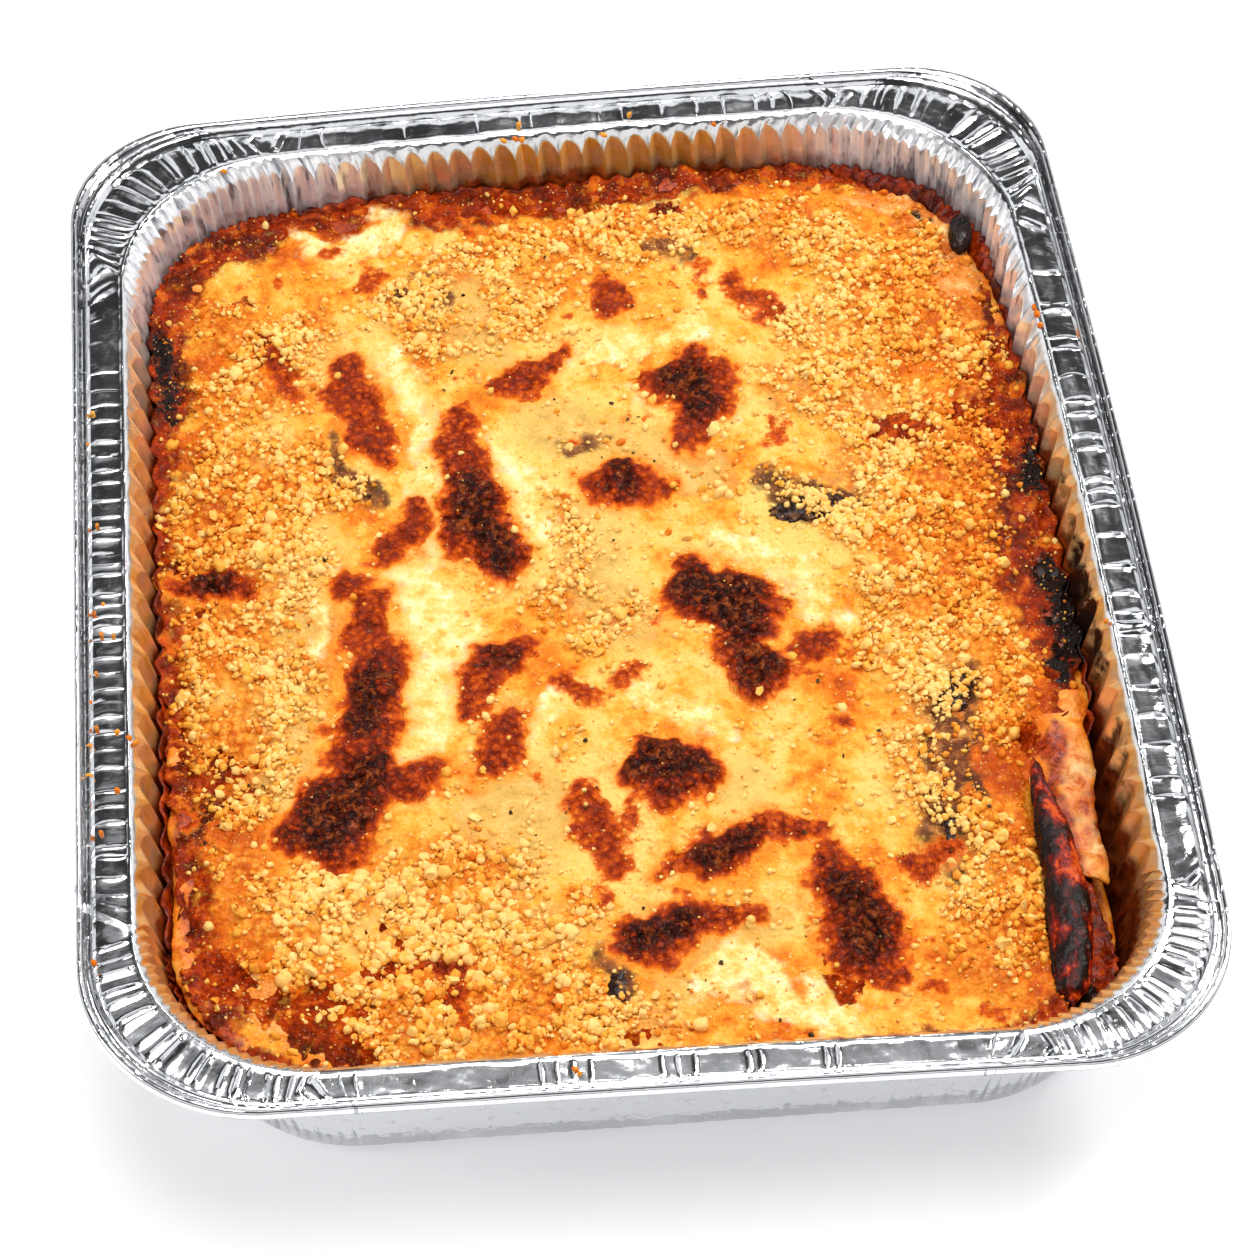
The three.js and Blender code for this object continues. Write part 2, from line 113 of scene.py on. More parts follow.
def smooth_noise(x, y, wavelength, seed):
    """Smooth noise between about -1 and 1, with humps about wavelength apart."""
    angles = np.random.default_rng(seed).random((NOISE_SIZE, NOISE_SIZE)) * TURN
    u = np.asarray(x, float) / wavelength + 91.7
    v = np.asarray(y, float) / wavelength + 47.3
    column = np.floor(u).astype(int)
    row = np.floor(v).astype(int)
    u = u - column
    v = v - row

    def corner(step_u, step_v):
        angle = angles[(column + step_u) % NOISE_SIZE, (row + step_v) % NOISE_SIZE]
        return np.cos(angle) * (u - step_u) + np.sin(angle) * (v - step_v)

    fade_u = u**3 * (u * (6 * u - 15) + 10)
    fade_v = v**3 * (v * (6 * v - 15) + 10)
    near = mix(corner(0, 0), corner(1, 0), fade_u)
    far = mix(corner(0, 1), corner(1, 1), fade_u)
    return 1.6 * mix(near, far, fade_v)


def rough_noise(x, y, wavelength, seed, octaves=4, gain=0.5):
    """Several sizes of smooth noise added up."""
    total = 0
    for k in range(octaves):
        total = total + gain**k * smooth_noise(x, y, wavelength / 2**k, seed + k)
    return total


def cells(x, y, wavelength, seed):
    """Distance to the nearest of scattered points, in wavelengths: 0 at a point and about 0.7 between."""
    random = np.random.default_rng(seed)
    jitter = random.random((2, NOISE_SIZE, NOISE_SIZE))
    u = np.asarray(x, float) / wavelength + 91.7
    v = np.asarray(y, float) / wavelength + 47.3
    column = np.floor(u).astype(int)
    row = np.floor(v).astype(int)
    nearest = np.full(u.shape, 9.0)
    for step_u in (-1, 0, 1):
        for step_v in (-1, 0, 1):
            i = column + step_u
            j = row + step_v
            point_u = i + jitter[0, i % NOISE_SIZE, j % NOISE_SIZE]
            point_v = j + jitter[1, i % NOISE_SIZE, j % NOISE_SIZE]
            nearest = np.minimum(nearest, np.hypot(u - point_u, v - point_v))
    return nearest


def waves(x, y, wavelength, seed):
    """The frame's uneven surface, made of three crossed waves between about -1 and 1."""
    k = TURN / wavelength
    first = np.sin(k * (x + 0.35 * y) + seed)
    second = np.sin(k * (0.85 * y - 0.45 * x) + 2.1 * seed)
    third = np.sin(k * 1.6 * (0.6 * x + 0.7 * y) + 3.7 * seed)
    return (first + second + third) / 3


# ---- Outlines ----


def rectangle_corners(width, length, corners, insets=(0, 0, 0, 0)):
    front, right, back, left = insets
    signs = ((-1, -1), (1, -1), (1, 1), (-1, 1))
    inward = ((left, front), (-right, front), (-right, -back), (left, -back))
    places = []
    for (dx, dy, _), (sx, sy), (ix, iy) in zip(corners, signs, inward):
        places.append((sx * width / 2 + dx + ix, sy * length / 2 + dy + iy))
    return np.array(places)


class Outline:
    """A rectangle with rounded corners and bowed sides, as a function of t."""

    def __init__(self, corners, radii, bows):
        self.bows = np.array(bows, float)
        self.radii = np.array(radii, float)
        to_last = np.roll(corners, 1, axis=0) - corners
        to_next = np.roll(corners, -1, axis=0) - corners
        to_last /= np.linalg.norm(to_last, axis=1)[:, None]
        to_next /= np.linalg.norm(to_next, axis=1)[:, None]
        half = np.arccos((to_last * to_next).sum(1)) / 2
        middle = to_last + to_next
        middle /= np.linalg.norm(middle, axis=1)[:, None]
        self.centres = corners + middle * (self.radii / np.sin(half))[:, None]
        start = corners + to_last * (self.radii / np.tan(half))[:, None] - self.centres
        self.first_angle = np.arctan2(start[:, 1], start[:, 0])
        self.sweep = math.pi - 2 * half

    def arc_point(self, i, share):
        angle = self.first_angle[i] + self.sweep[i] * share
        direction = np.stack([np.cos(angle), np.sin(angle)], axis=-1)
        return self.centres[i] + direction * self.radii[i][..., None]

    def at(self, t):
        t = np.asarray(t, float) % LAP
        i = (t // 2).astype(int) % 4
        share = t % 2
        on_corner = self.arc_point(i, np.minimum(share, 1))
        first = self.arc_point(i, np.ones_like(t))
        last = self.arc_point((i + 1) % 4, np.zeros_like(t))
        along = np.clip(share - 1, 0, 1)[..., None]
        outward = np.stack([last[..., 1] - first[..., 1], first[..., 0] - last[..., 0]], axis=-1)
        outward /= np.linalg.norm(outward, axis=-1)[..., None]
        bow = self.bows[i][..., None] * 4 * along * (1 - along)
        on_side = mix(first, last, along) + outward * bow
        return np.where((share <= 1)[..., None], on_corner, on_side)

    def outward(self, t):
        step = 1e-3
        along = self.at(t + step) - self.at(t - step)
        outward = np.stack([along[..., 1], -along[..., 0]], axis=-1)
        return outward / np.linalg.norm(outward, axis=-1)[..., None]


def flange_outline(inset):
    """The rim's outline, at a distance inside its outer edge that is full at the lip."""
    share = inset / LIP_INSETS[LEFT]
    corners = rectangle_corners(RIM_WIDTH, RIM_LENGTH, RIM_CORNERS, [full * share for full in LIP_INSETS])
    radii = [mix(corner[2], full, share) for corner, full in zip(RIM_CORNERS, LIP_RADII)]
    return Outline(corners, radii, SIDE_BOWS)


def wall_end_outlines():
    insets = [inset + LIP_WIDTH for inset in LIP_INSETS]
    top = rectangle_corners(RIM_WIDTH, RIM_LENGTH, RIM_CORNERS, insets)
    floor = rectangle_corners(FLOOR_WIDTH, FLOOR_LENGTH, FLOOR_CORNERS)
    floor_radii = [corner[2] for corner in FLOOR_CORNERS]
    return Outline(floor, floor_radii, (0, 0, 0, 0)), Outline(top, LIP_RADII, SIDE_BOWS)


WALL_FLOOR, WALL_HEAD = wall_end_outlines()


def rim_centre():
    points = flange_outline(0).at(np.linspace(0, LAP, 800))
    return (points.min(0) + points.max(0)) / 2


RIM_CENTRE = rim_centre()


def wall_points(t, z, out=0.0):
    """Points of the wall at height z, moved outwards by out. t, z and out may be arrays."""
    share = np.asarray(z, float)[..., None] / WALL_TOP
    base = mix(WALL_FLOOR.at(t), WALL_HEAD.at(t), share)
    return base + WALL_HEAD.outward(t) * np.asarray(out, float)[..., None]


# ---- Flutes and pleats ----


def flute_count(t):
    """How many flutes the side or corner at t has."""
    i = (np.asarray(t, float) % LAP // 2).astype(int) % 4
    on_corner = np.asarray(t, float) % 2 < 1
    return np.where(on_corner, PLEATS_PER_CORNER, np.array(FLUTES_PER_SIDE)[i])


def flute_phase(t):
    """Place within a flute, 0 and 1 at its ridges."""
    return np.asarray(t, float) % 1 * flute_count(t) % 1


FLUTE_VALLEY = 0.6  # the wide panel of a flute is before it and the narrow panel after it


def flute_push(t, depth):
    """How far the wall stands out of its plain outline: depth / 2 in a valley and less on a ridge."""
    phase = flute_phase(t)
    wide = 1 - phase / FLUTE_VALLEY
    narrow = (phase - FLUTE_VALLEY) / (1 - FLUTE_VALLEY)
    valley = 1 - np.where(phase < FLUTE_VALLEY, wide, narrow) ** 1.3
    t = np.asarray(t, float)
    number = np.floor(t % 1 * flute_count(t)) + 40 * np.floor(t % LAP)
    uneven = 1 + 0.35 * np.sin(12.9898 * number) * np.sin(78.233 * number)
    on_corner = smoothstep(np.abs(t % 2 - 0.5), 0.5, 0.42)
    return mix(depth, 0.7 * depth, on_corner) * uneven * (valley - 0.5)


def junction_height(t):
    """Where the slope below the lip meets the fluted wall: a round arch over each flute."""
    aside = np.abs(2 * flute_phase(t) - 1)
    arch = 1 - aside**3
    on_corner = smoothstep(np.abs(np.asarray(t, float) % 2 - 0.5), 0.5, 0.42)
    return mix(48.5 + 3.6 * arch, 50.6 + 0.6 * arch, on_corner)


# ---- Strokes: patches of the baked surface as chains of (x, y, radius) ----

BROWN_STROKES = {
    "top small": [(9, 94, 5.5)],
    "top middle": [(-21, 65, 4), (-13, 70, 5), (-6, 77, 3)],
    "left upper": [(-63, 76, 5), (-60, 64, 7), (-57, 52, 6), (-53, 46, 4)],
    "right upper": [(20, 63, 6), (28, 65, 9), (29, 55, 8), (26, 45, 5)],
    "long middle": [(-36, 59, 3), (-33, 43, 6), (-32, 28, 8), (-33, 15, 8), (-26, 7, 6)],
    "small middle": [(0, 30, 5), (8, 31, 5.5), (13, 30, 4)],
    "small left": [(-47, 24, 4), (-52, 15, 4.5), (-56, 10, 3)],
    "left edge": [(-108, 5, 4), (-99, 6, 5), (-93, 7, 4)],
    "long left": [(-64, 1, 4), (-60, -4, 4), (-61, -15, 6), (-60, -27, 8), (-63, -39, 7.5), (-66, -51, 6.5)],
    "left foot": [(-66, -51, 6.5), (-70, -62, 9), (-72, -74, 10), (-80, -72, 7)],
    "left arm": [(-66, -65, 6), (-52, -59, 4), (-45, -55, 2.5)],
    "middle": [(-25, -21, 5), (-32, -25, 5.5), (-35, -32, 4.5), (-37, -40, 3)],
    "middle foot": [(-27, -41, 3), (-31, -51, 5), (-35, -57, 4)],
    "right heart": [(20, 3, 5), (22, -8, 8), (31, -9, 9), (38, -10, 7), (30, -19, 7)],
    "right tail": [(31, -25, 6), (34, -34, 6)],
    "right spark": [(45, -26, 3), (50, -25, 3)],
    "low round": [(6, -57, 7), (13, -58, 7), (8, -65, 7), (1, -61, 5)],
    "low slant": [(6, -88, 4), (14, -87, 5.5), (23, -84, 5.5), (34, -79, 5), (42, -80, 3)],
    "front slant": [(-7, -108, 4), (-1, -110, 6), (9, -104, 4.5), (19, -103, 4), (27, -104, 3)],
    "front right": [(45, -89, 5), (48, -99, 8), (49, -110, 9), (53, -119, 7), (42, -107, 5)],
    "front ring": [(64, -128, 2)],
}
TAN_STROKES = {
    "low left": [(-12, -66, 5), (-9, -77, 6), (-8, -86, 4)],
    "centre": [(-13, -31, 4), (-9, -38, 4)],
    "centre right": [(0, -32, 3), (5, -30, 2.5)],
    "right": [(65, -91, 5), (74, -89, 4)],
    "right small": [(53, -49, 3)],
    "top right": [(42, 98, 4), (50, 87, 4), (54, 83, 3)],
    "upper right": [(72, 44, 5), (85, 42, 5)],
    "front left": [(-61, -112, 4), (-47, -112, 4), (-46, -127, 3)],
    "left spark": [(-84, 86, 4), (-76, 66, 4)],
    "back left": [(-63, 117, 3)],
}
CREAM_STROKES = {
    "back left": [(-69, 121, 5), (-61, 116, 7), (-53, 122, 6), (-47, 129, 4)],
    "back middle": [(-3, 77, 6), (10, 78, 6), (21, 80, 5), (31, 83, 4)],
    "left channel": [(-51, 81, 3), (-47, 68, 6), (-42, 59, 5), (-43, 35, 6), (-44, 16, 8), (-52, 0, 6)],
    "middle channel": [(-24, 47, 4), (-20, 30, 5), (-16, 12, 5), (-12, 7, 4)],
    "middle": [(-45, -3, 8), (-40, -12, 8), (-44, -29, 9), (-49, -45, 6), (-53, -52, 5)],
    "right band": [(28, 12, 4), (39, 5, 6), (47, -6, 6), (53, -18, 5)],
    "front right": [(12, -119, 7), (20, -117, 8), (28, -124, 7), (37, -131, 7), (43, -137, 5)],
    "middle foot": [(-26, -50, 4), (-21, -43, 5), (-15, -36, 5)],
    "left rim": [(-68, 10, 3), (-71, -3, 3), (-73, -16, 3)],
    "heart rim": [(2, -35, 4), (9, -39, 4), (16, -46, 5), (24, -50, 4)],
    "upper right rim": [(36, 50, 3), (17, 52, 3), (14, 63, 3)],
}
VEIL_STROKES = {  # thin melted cheese with the vegetables showing through
    "upper": [(-24, 95, 8), (-36, 92, 8), (-22, 76, 6)],
    "middle": [(-10, 52, 9), (2, 44, 10), (14, 42, 9), (26, 33, 8)],
    "centre": [(0, 18, 8), (-3, 2, 8), (4, -16, 8)],
    "low middle": [(-20, -66, 9), (-36, -70, 10), (-24, -78, 8)],
    "low right": [(25, -66, 8), (28, -75, 7)],
    "front": [(22, -108, 8), (8, -118, 8)],
    "left": [(-84, -55, 6), (-78, -20, 6), (-72, 18, 6)],
}
FOLD_STROKES = {
    "right": [(106, -64, 4), (109, -78, 5), (108, -92, 4)],
    "back right": [(78, 126, 3), (90, 124, 4), (99, 116, 5), (103, 103, 5), (105, 90, 3)],
    "back right inner": [(95, 107, 3), (99, 90, 3)],
    "front left": [(-98, -112, 4), (-88, -124, 5), (-76, -131, 4)],
}
DEEP_STROKES = {  # the darkest hearts of the brown blisters
    "heart": [(22, -4, 6), (30, -10, 8), (30, -20, 5)],
    "tail": [(34, -31, 5)],
    "round": [(4, -58, 5), (12, -60, 6)],
    "left foot": [(-63, -54, 4), (-72, -68, 7), (-76, -74, 5)],
    "long left": [(-61, -28, 4), (-64, -40, 4)],
    "long middle": [(-33, 31, 4), (-32, 20, 6), (-26, 9, 4)],
    "front right": [(47, -98, 4), (50, -110, 6)],
    "front": [(-3, -109, 4), (8, -105, 3)],
    "slant": [(14, -87, 3.5), (24, -84, 3)],
    "right upper": [(26, 64, 5), (28, 55, 4)],
    "small middle": [(6, 31, 3)],
    "middle": [(-28, -23, 3)],
    "left edge": [(-98, 6, 4)],
}
DUSK_STROKES = {  # vegetables and herbs that show dark through the cheese
    "left upper": [(-67, 50, 2), (-64, 37, 4), (-56, 31, 4)],
    "back left": [(-45, 98, 3), (-38, 104, 4), (-36, 97, 3)],
    "middle": [(-7, 42, 3), (0, 44, 3)],
    "back": [(22, 113, 3), (29, 110, 3)],
    "right upper": [(42, 31, 3), (53, 19, 7), (66, 17, 5)],
    "right": [(84, -36, 4), (80, -46, 7), (77, -58, 8), (77, -72, 7), (72, -86, 6), (74, -92, 5)],
    "left": [(-103, -51, 3)],
    "low": [(-10, -112, 4), (-8, -122, 4)],
}
CRUMB_STROKES = {
    "left": [(-93, 44, 10), (-80, 42, 12), (-68, 36, 8), (-92, 20, 11), (-80, 10, 11), (-90, -3, 9)],
    "left low": [(-100, -12, 7), (-88, -20, 9), (-80, -32, 7), (-94, -38, 8), (-86, -50, 7), (-94, -62, 7)],
    "left high": [(-95, 92, 7), (-85, 88, 9), (-78, 70, 9), (-91, 66, 8), (-72, 90, 8)],
    "back": [(-47, 96, 7), (-32, 108, 9), (-14, 112, 10), (6, 114, 10), (28, 118, 9)],
    "back inner": [(-40, 84, 8), (-28, 84, 7), (-14, 94, 9)],
    "back right": [(46, 120, 8), (62, 115, 10), (76, 103, 11), (90, 96, 9), (84, 80, 12), (63, 80, 10)],
    "right": [(52, 60, 8), (66, 56, 12), (80, 44, 12), (64, 28, 9), (70, 8, 9), (84, 20, 11), (92, 36, 9)],
    "right middle": [(68, -8, 8), (80, -18, 9), (76, 4, 8)],
    "right edge": [(90, 12, 8), (94, -2, 6), (93, -26, 7), (90, -50, 8), (86, -12, 8)],
    "right border": [(98, 84, 6), (100, 66, 7), (100, 48, 5), (98, 30, 6)],
    "front left": [(-86, -104, 8), (-76, -92, 9), (-60, -88, 8), (-47, -84, 8), (-34, -90, 9)],
    "front": [(-20, -102, 7), (-56, -106, 11), (-40, -116, 11), (-24, -122, 8), (-68, -122, 8),
              (-50, -130, 7)],
    "centre": [(-14, 20, 6), (-4, 6, 6), (-13, -6, 6), (2, -12, 5), (-9, -20, 4)],
    "front right": [(84, -82, 7), (87, -98, 8), (86, -114, 7), (77, -120, 7), (78, -100, 6)],
    "left border": [(-104, 34, 6), (-105, 18, 5), (-105, -4, 4), (-105, -30, 6), (-102, -48, 5)],
    "left foot border": [(-95, -78, 5), (-91, -92, 6), (-86, -107, 6), (-78, -120, 6), (-62, -132, 5)],
    "front border": [(-40, -132, 6), (-20, -132, 6), (0, -130, 5)],
    "back right corner": [(92, 106, 6), (90, 116, 4)],
    "dark side": [(66, -26, 6), (74, -42, 7), (68, -60, 6), (70, -74, 5)],
    "on the aubergine": [(50, 26, 5), (60, 12, 5)],
}
RED_STROKES = {
    "left": [(-108, 103, 7), (-108, 82, 6), (-108, 60, 5), (-107, 44, 4)],
    "left low": [(-107, -62, 4), (-104, -92, 4), (-101, -116, 4), (-101, -130, 6)],
    "back left": [(-86, 124, 7), (-70, 130, 6), (-58, 132, 6)],
    "back": [(-40, 131, 7), (-20, 132, 6), (0, 134, 5), (26, 136, 6), (54, 139, 6), (80, 138, 6)],
    "right": [(110, 70, 7), (107, 52, 7), (105, 40, 8), (108, 20, 9), (107, 0, 9), (107, -28, 8)],
    "right low": [(103, -58, 4), (101, -72, 2), (103, -90, 3), (102, -101, 4)],
    "fold stain": [(111, -72, 2), (112, -84, 2.5)],
}
CHAR_STROKES = {
    "right": [(110, -2, 3), (112, -13, 5), (113, -27, 6.5), (108, -36, 4)],
    "right high": [(111, 38, 3), (111, 20, 3)],
    "left": [(-110, 88, 3), (-108, 75, 3.5), (-107, 62, 3)],
    "front right": [(97, -128, 3), (100, -134, 3)],
    "hole at the back": [(93.9, 116.2, 2.2)],
    "hole at the left": [(-101.5, -74, 2.2)],
    "hole at the front": [(-85.4, -128.9, 1.8)],
}
WALL_SOOT = {  # on the inside of the wall, where its "right" takes the place of the one above
    "right": [(119, 16, 3), (120, 0, 5), (121, -14, 8), (121, -30, 8), (121, -42, 5)],
    "right low": [(120, -56, 3), (120, -80, 3)],
}


def stroke_field(x, y, strokes, feather=3.0, ragged=2.4, seed=5):
    """1 inside the strokes and 0 outside, with ragged edges. Half of the soft edge, feather millimetres
    wide, lies on each side of the strokes' outline."""
    x = np.asarray(x, float)
    y = np.asarray(y, float)
    bent_x = x + ragged * rough_noise(x, y, 11, seed, 3)
    bent_y = y + ragged * rough_noise(x, y, 11, seed + 20, 3)
    beyond = np.full(x.shape, 99.0)
    for chain in strokes.values():
        links = zip(chain, chain[1:]) if len(chain) > 1 else [(chain[0], chain[0])]
        for (ax, ay, ar), (bx, by, br) in links:
            span = max((bx - ax) ** 2 + (by - ay) ** 2, 1e-9)
            along = np.clip(((bent_x - ax) * (bx - ax) + (bent_y - ay) * (by - ay)) / span, 0, 1)
            away = np.hypot(bent_x - mix(ax, bx, along), bent_y - mix(ay, by, along))
            beyond = np.minimum(beyond, away - mix(ar, br, along))
    beyond = beyond + 0.25 * ragged * rough_noise(x, y, 3, seed + 40, 2)
    return 1 - smoothstep(beyond, -feather / 2, feather / 2)


# ---- Heights of the food, the same as the frame's where the pieces lie on each other ----


def hump(t, centre, half_width):
    distance = np.abs((t - centre + 1.5 * LAP) % LAP - LAP / 2)
    return 1 - smoothstep(distance, 0, half_width)


# How far the baked surface stops short of the wall: stop t and millimetres.
CHEESE_EDGE = (
    (0.1, 4), (0.35, 2.5), (0.65, 0.8), (1, 0), (2, 0), (2.3, 2), (2.5, 11), (2.95, 20), (3.17, 18),
    (3.22, 11), (3.3, 3.5), (3.4, 0), (3.8, 0), (3.95, 3), (4.1, 7), (4.4, 7.5), (4.55, 6), (4.7, 7), (4.85, 4),
    (4.97, 0.6), (5.1, 0), (7.3, 0), (7.6, 0.5), (7.8, 3), (7.97, 4.5),
)
# How far in from the wall its edge is red with sauce.
SAUCE_RIM = (
    (0.15, 12), (0.35, 8), (0.65, 5), (1, 3.5), (1.5, 3), (2, 5), (2.5, 12), (2.95, 20), (3.3, 11), (3.5, 9),
    (3.75, 10), (3.85, 11), (3.97, 8), (4.25, 6), (4.45, 5), (4.7, 7), (4.85, 7), (5.04, 5), (5.12, 8),
    (5.25, 11), (5.5, 13), (5.65, 15), (5.77, 17), (5.86, 10), (6.05, 13), (6.3, 15), (6.75, 12), (7.0, 9),
    (7.24, 6), (7.34, 4), (7.5, 7), (7.66, 7), (7.73, 9), (7.87, 11), (7.97, 13),
)
# The pasta sheet reaches this much further out, and at the right it shows as a broad pale fold.
SHEET_EXTRA = (
    (0, 2.5), (0.6, 1), (1, -1.5), (2.2, -1.5), (2.93, 1.5), (3.0, 14), (3.17, 14), (3.24, 6), (3.35, 1),
    (3.45, -1.5), (3.8, -1.5), (4, 2), (4.3, 1.4), (4.85, 1.4), (5.05, -1.5), (7.6, -1.5), (7.8, 1.5),
)
CORNER_GAP_STOP = 2.95  # in the front right corner the upper layers stop short of the wall


def table_value(t, table):
    stops, values = np.array(table, float).T
    return np.interp(np.asarray(t, float) % LAP, stops, values, period=LAP)


def upper_filling_inset(t):
    return 11 * hump(t, CORNER_GAP_STOP, 0.4)


def ragged_edge(t, amount, wavelength, seed):
    place = WALL_HEAD.at(t)
    return amount * rough_noise(place[..., 0], place[..., 1], wavelength, seed, 3)


def cheese_inset(t):
    return np.maximum(table_value(t, CHEESE_EDGE) + ragged_edge(t, 1.2, 9, 81), 0.1)


def top_sheet_inset(t):
    inset = table_value(t, CHEESE_EDGE) - table_value(t, SHEET_EXTRA) + ragged_edge(t, 1.3, 12, 111)
    return np.maximum(inset, 0.9)


def wall_distance(t):
    return np.linalg.norm(wall_points(t, UPPER_FILLING_TOP), axis=-1)


def reach_of(inset, t):
    """The share of the way to the wall at which a layer ends."""
    return 1 - inset / wall_distance(t)


def loose(out):
    return smoothstep(out, FLAT_CORE, FLAT_CORE + 0.1)


def filling_height(x, y, out):
    return UPPER_FILLING_TOP + loose(out) * (1.2 + 1.2 * waves(x, y, 70, 1.3))


def sheet_underside(x, y, out):
    curl = smoothstep(out, 0.9, 0.99) * (1.2 + 1.6 * smooth_noise(x, y, 42, 121))
    lift = loose(out) * (1 + 0.4 * waves(x, y, 46, 0.4)) + curl
    return filling_height(x, y, out) + 0.3 + 0.4 * loose(out) + lift


def sheet_height(x, y, out):
    return sheet_underside(x, y, out) + SHEET_THICKNESS


EDGE_SLOPE = 13  # breadth of the band in which the cheese thins out


def cheese_height(x, y, out, from_edge):
    """Height of the cheese, which thins out towards its edge. from_edge is the distance from it."""
    ripple = 1.5 * waves(x, y, 62, 2.2) + 0.5 * waves(x, y, 27, 0.9)
    full = CHEESE_TOP + 1.6 * (1 - out * out) + ripple
    sheet = sheet_height(x, y, out)
    return mix(sheet + 0.1, np.maximum(full, sheet + 0.9), smoothstep(from_edge, -2, EDGE_SLOPE))


# ---- Meshes ----


def mesh_object(name, vertices, corners, counts, attributes, smooth_angle=None):
    """A smooth object from points in millimetres, the corners of its faces and how many each face has."""
    mesh = bpy.data.meshes.new(name)
    mesh.vertices.add(len(vertices))
    mesh.vertices.foreach_set("co", (vertices * MM).astype(np.float32).ravel())
    mesh.loops.add(len(corners))
    mesh.loops.foreach_set("vertex_index", corners.astype(np.int32))
    mesh.polygons.add(len(counts))
    starts = np.concatenate([[0], np.cumsum(counts)[:-1]])
    mesh.polygons.foreach_set("loop_start", starts.astype(np.int32))
    mesh.update(calc_edges=True)
    mesh.validate()
    for key, values in attributes.items():
        layer = mesh.attributes.new(key, "FLOAT", "POINT")
        layer.data.foreach_set("value", values.astype(np.float32))
    mesh.polygons.foreach_set("use_smooth", np.ones(len(counts), bool))
    if smooth_angle is not None:
        mesh.set_sharp_from_angle(angle=math.radians(smooth_angle))
    piece = bpy.data.objects.new(name, mesh)
    bpy.context.scene.collection.objects.link(piece)
    return piece


def even_faces(name, vertices, faces, attributes=None, smooth_angle=None):
    """An object whose faces all have the same number of corners."""
    counts = np.full(len(faces), faces.shape[1])
    return mesh_object(name, vertices, faces.ravel(), counts, attributes or {}, smooth_angle)


def ring_faces(rings, stops):
    """Squares between rings of points that run counterclockwise, from the middle of the top outwards."""
    ring = np.arange(rings - 1)[:, None] * stops
    k = np.arange(stops)[None, :]
    after = (k + 1) % stops
    return np.stack([ring + k, ring + stops + k, ring + stops + after, ring + after], axis=-1).reshape(-1, 4)


def closed_rings(name, rings, start, end, attributes, smooth_angle=None):
    """A closed body from an array of rings (ring, stop, xyz) and the middles of its first and last face.
    Each attribute is an array (ring, stop); the middles take its first and last value."""
    count, stops, _ = rings.shape
    vertices = np.concatenate([rings.reshape(-1, 3), [start], [end]]) - [*RIM_CENTRE, 0]
    squares = ring_faces(count, stops)
    k = np.arange(stops)
    after = (k + 1) % stops
    base = (count - 1) * stops
    first = np.stack([np.full(stops, count * stops), k, after], axis=-1)
    last = np.stack([np.full(stops, count * stops + 1), base + after, base + k], axis=-1)
    corners = np.concatenate([squares.ravel(), first.ravel(), last.ravel()])
    counts = np.concatenate([np.full(len(squares), 4), np.full(2 * stops, 3)])
    flat = {}
    for key, values in attributes.items():
        flat[key] = np.concatenate([values.ravel(), [values[0, 0], values[-1, 0]]])
    return mesh_object(name, vertices, corners, counts, flat, smooth_angle)


def border_indices(count):
    """Indices round the edge of a square grid, counterclockwise from above."""
    k = np.arange(count - 1)
    front = k * count
    right = (count - 1) * count + k
    back = (count - 1 - k) * count + count - 1
    left = count - 1 - k
    return np.concatenate([front, right, back, left])


def grid_body(name, x, y, z, floor, attributes):
    """A closed body over a square grid: its top is fine, and its underside is a fan inside its border."""
    count = x.shape[0]
    top = np.column_stack([x.ravel(), y.ravel(), z.ravel()])
    border = border_indices(count)
    base = np.column_stack([x.ravel()[border], y.ravel()[border], floor.ravel()[border]])
    middle = np.array([[x.mean(), y.mean(), floor.min() - 0.2]])
    vertices = np.concatenate([top, base, middle])
    i = np.arange(count - 1)[:, None] * count + np.arange(count - 1)[None, :]
    squares = np.stack([i, i + count, i + count + 1, i + 1], axis=-1).reshape(-1, 4)
    n = len(border)
    k = np.arange(n)
    after = (k + 1) % n
    first = len(top)
    skirt = np.stack([border[after], border[k], first + k, first + after], axis=-1)
    under = np.stack([first + after, first + k, np.full(n, first + n)], axis=-1)
    corners = np.concatenate([squares.ravel(), skirt.ravel(), under.ravel()])
    counts = np.concatenate([np.full(len(squares) + n, 4), np.full(n, 3)])
    flat = {}
    for key, values in attributes.items():
        values = values.ravel()
        flat[key] = np.concatenate([values, values[border], values[:1]])
    return mesh_object(name, vertices, corners, counts, flat)


def finish_piece(piece, material, slot, *nodes):
    piece.data.materials.append(material)
    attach(piece, "root")
    if nodes:
        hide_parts(*nodes)
    return piece


# ---- Settings and materials ----


def colour_setting(name, description, colour):
    return FloatVectorProperty(name=name, description=description, default=colour, subtype="COLOR", size=3)


def length_setting(name, description, millimetres):
    return FloatProperty(name=name, description=description, default=millimetres * MM, unit="LENGTH")


def count_setting(name, description, count, most):
    return IntProperty(name=name, description=description, default=count, min=1, max=most)


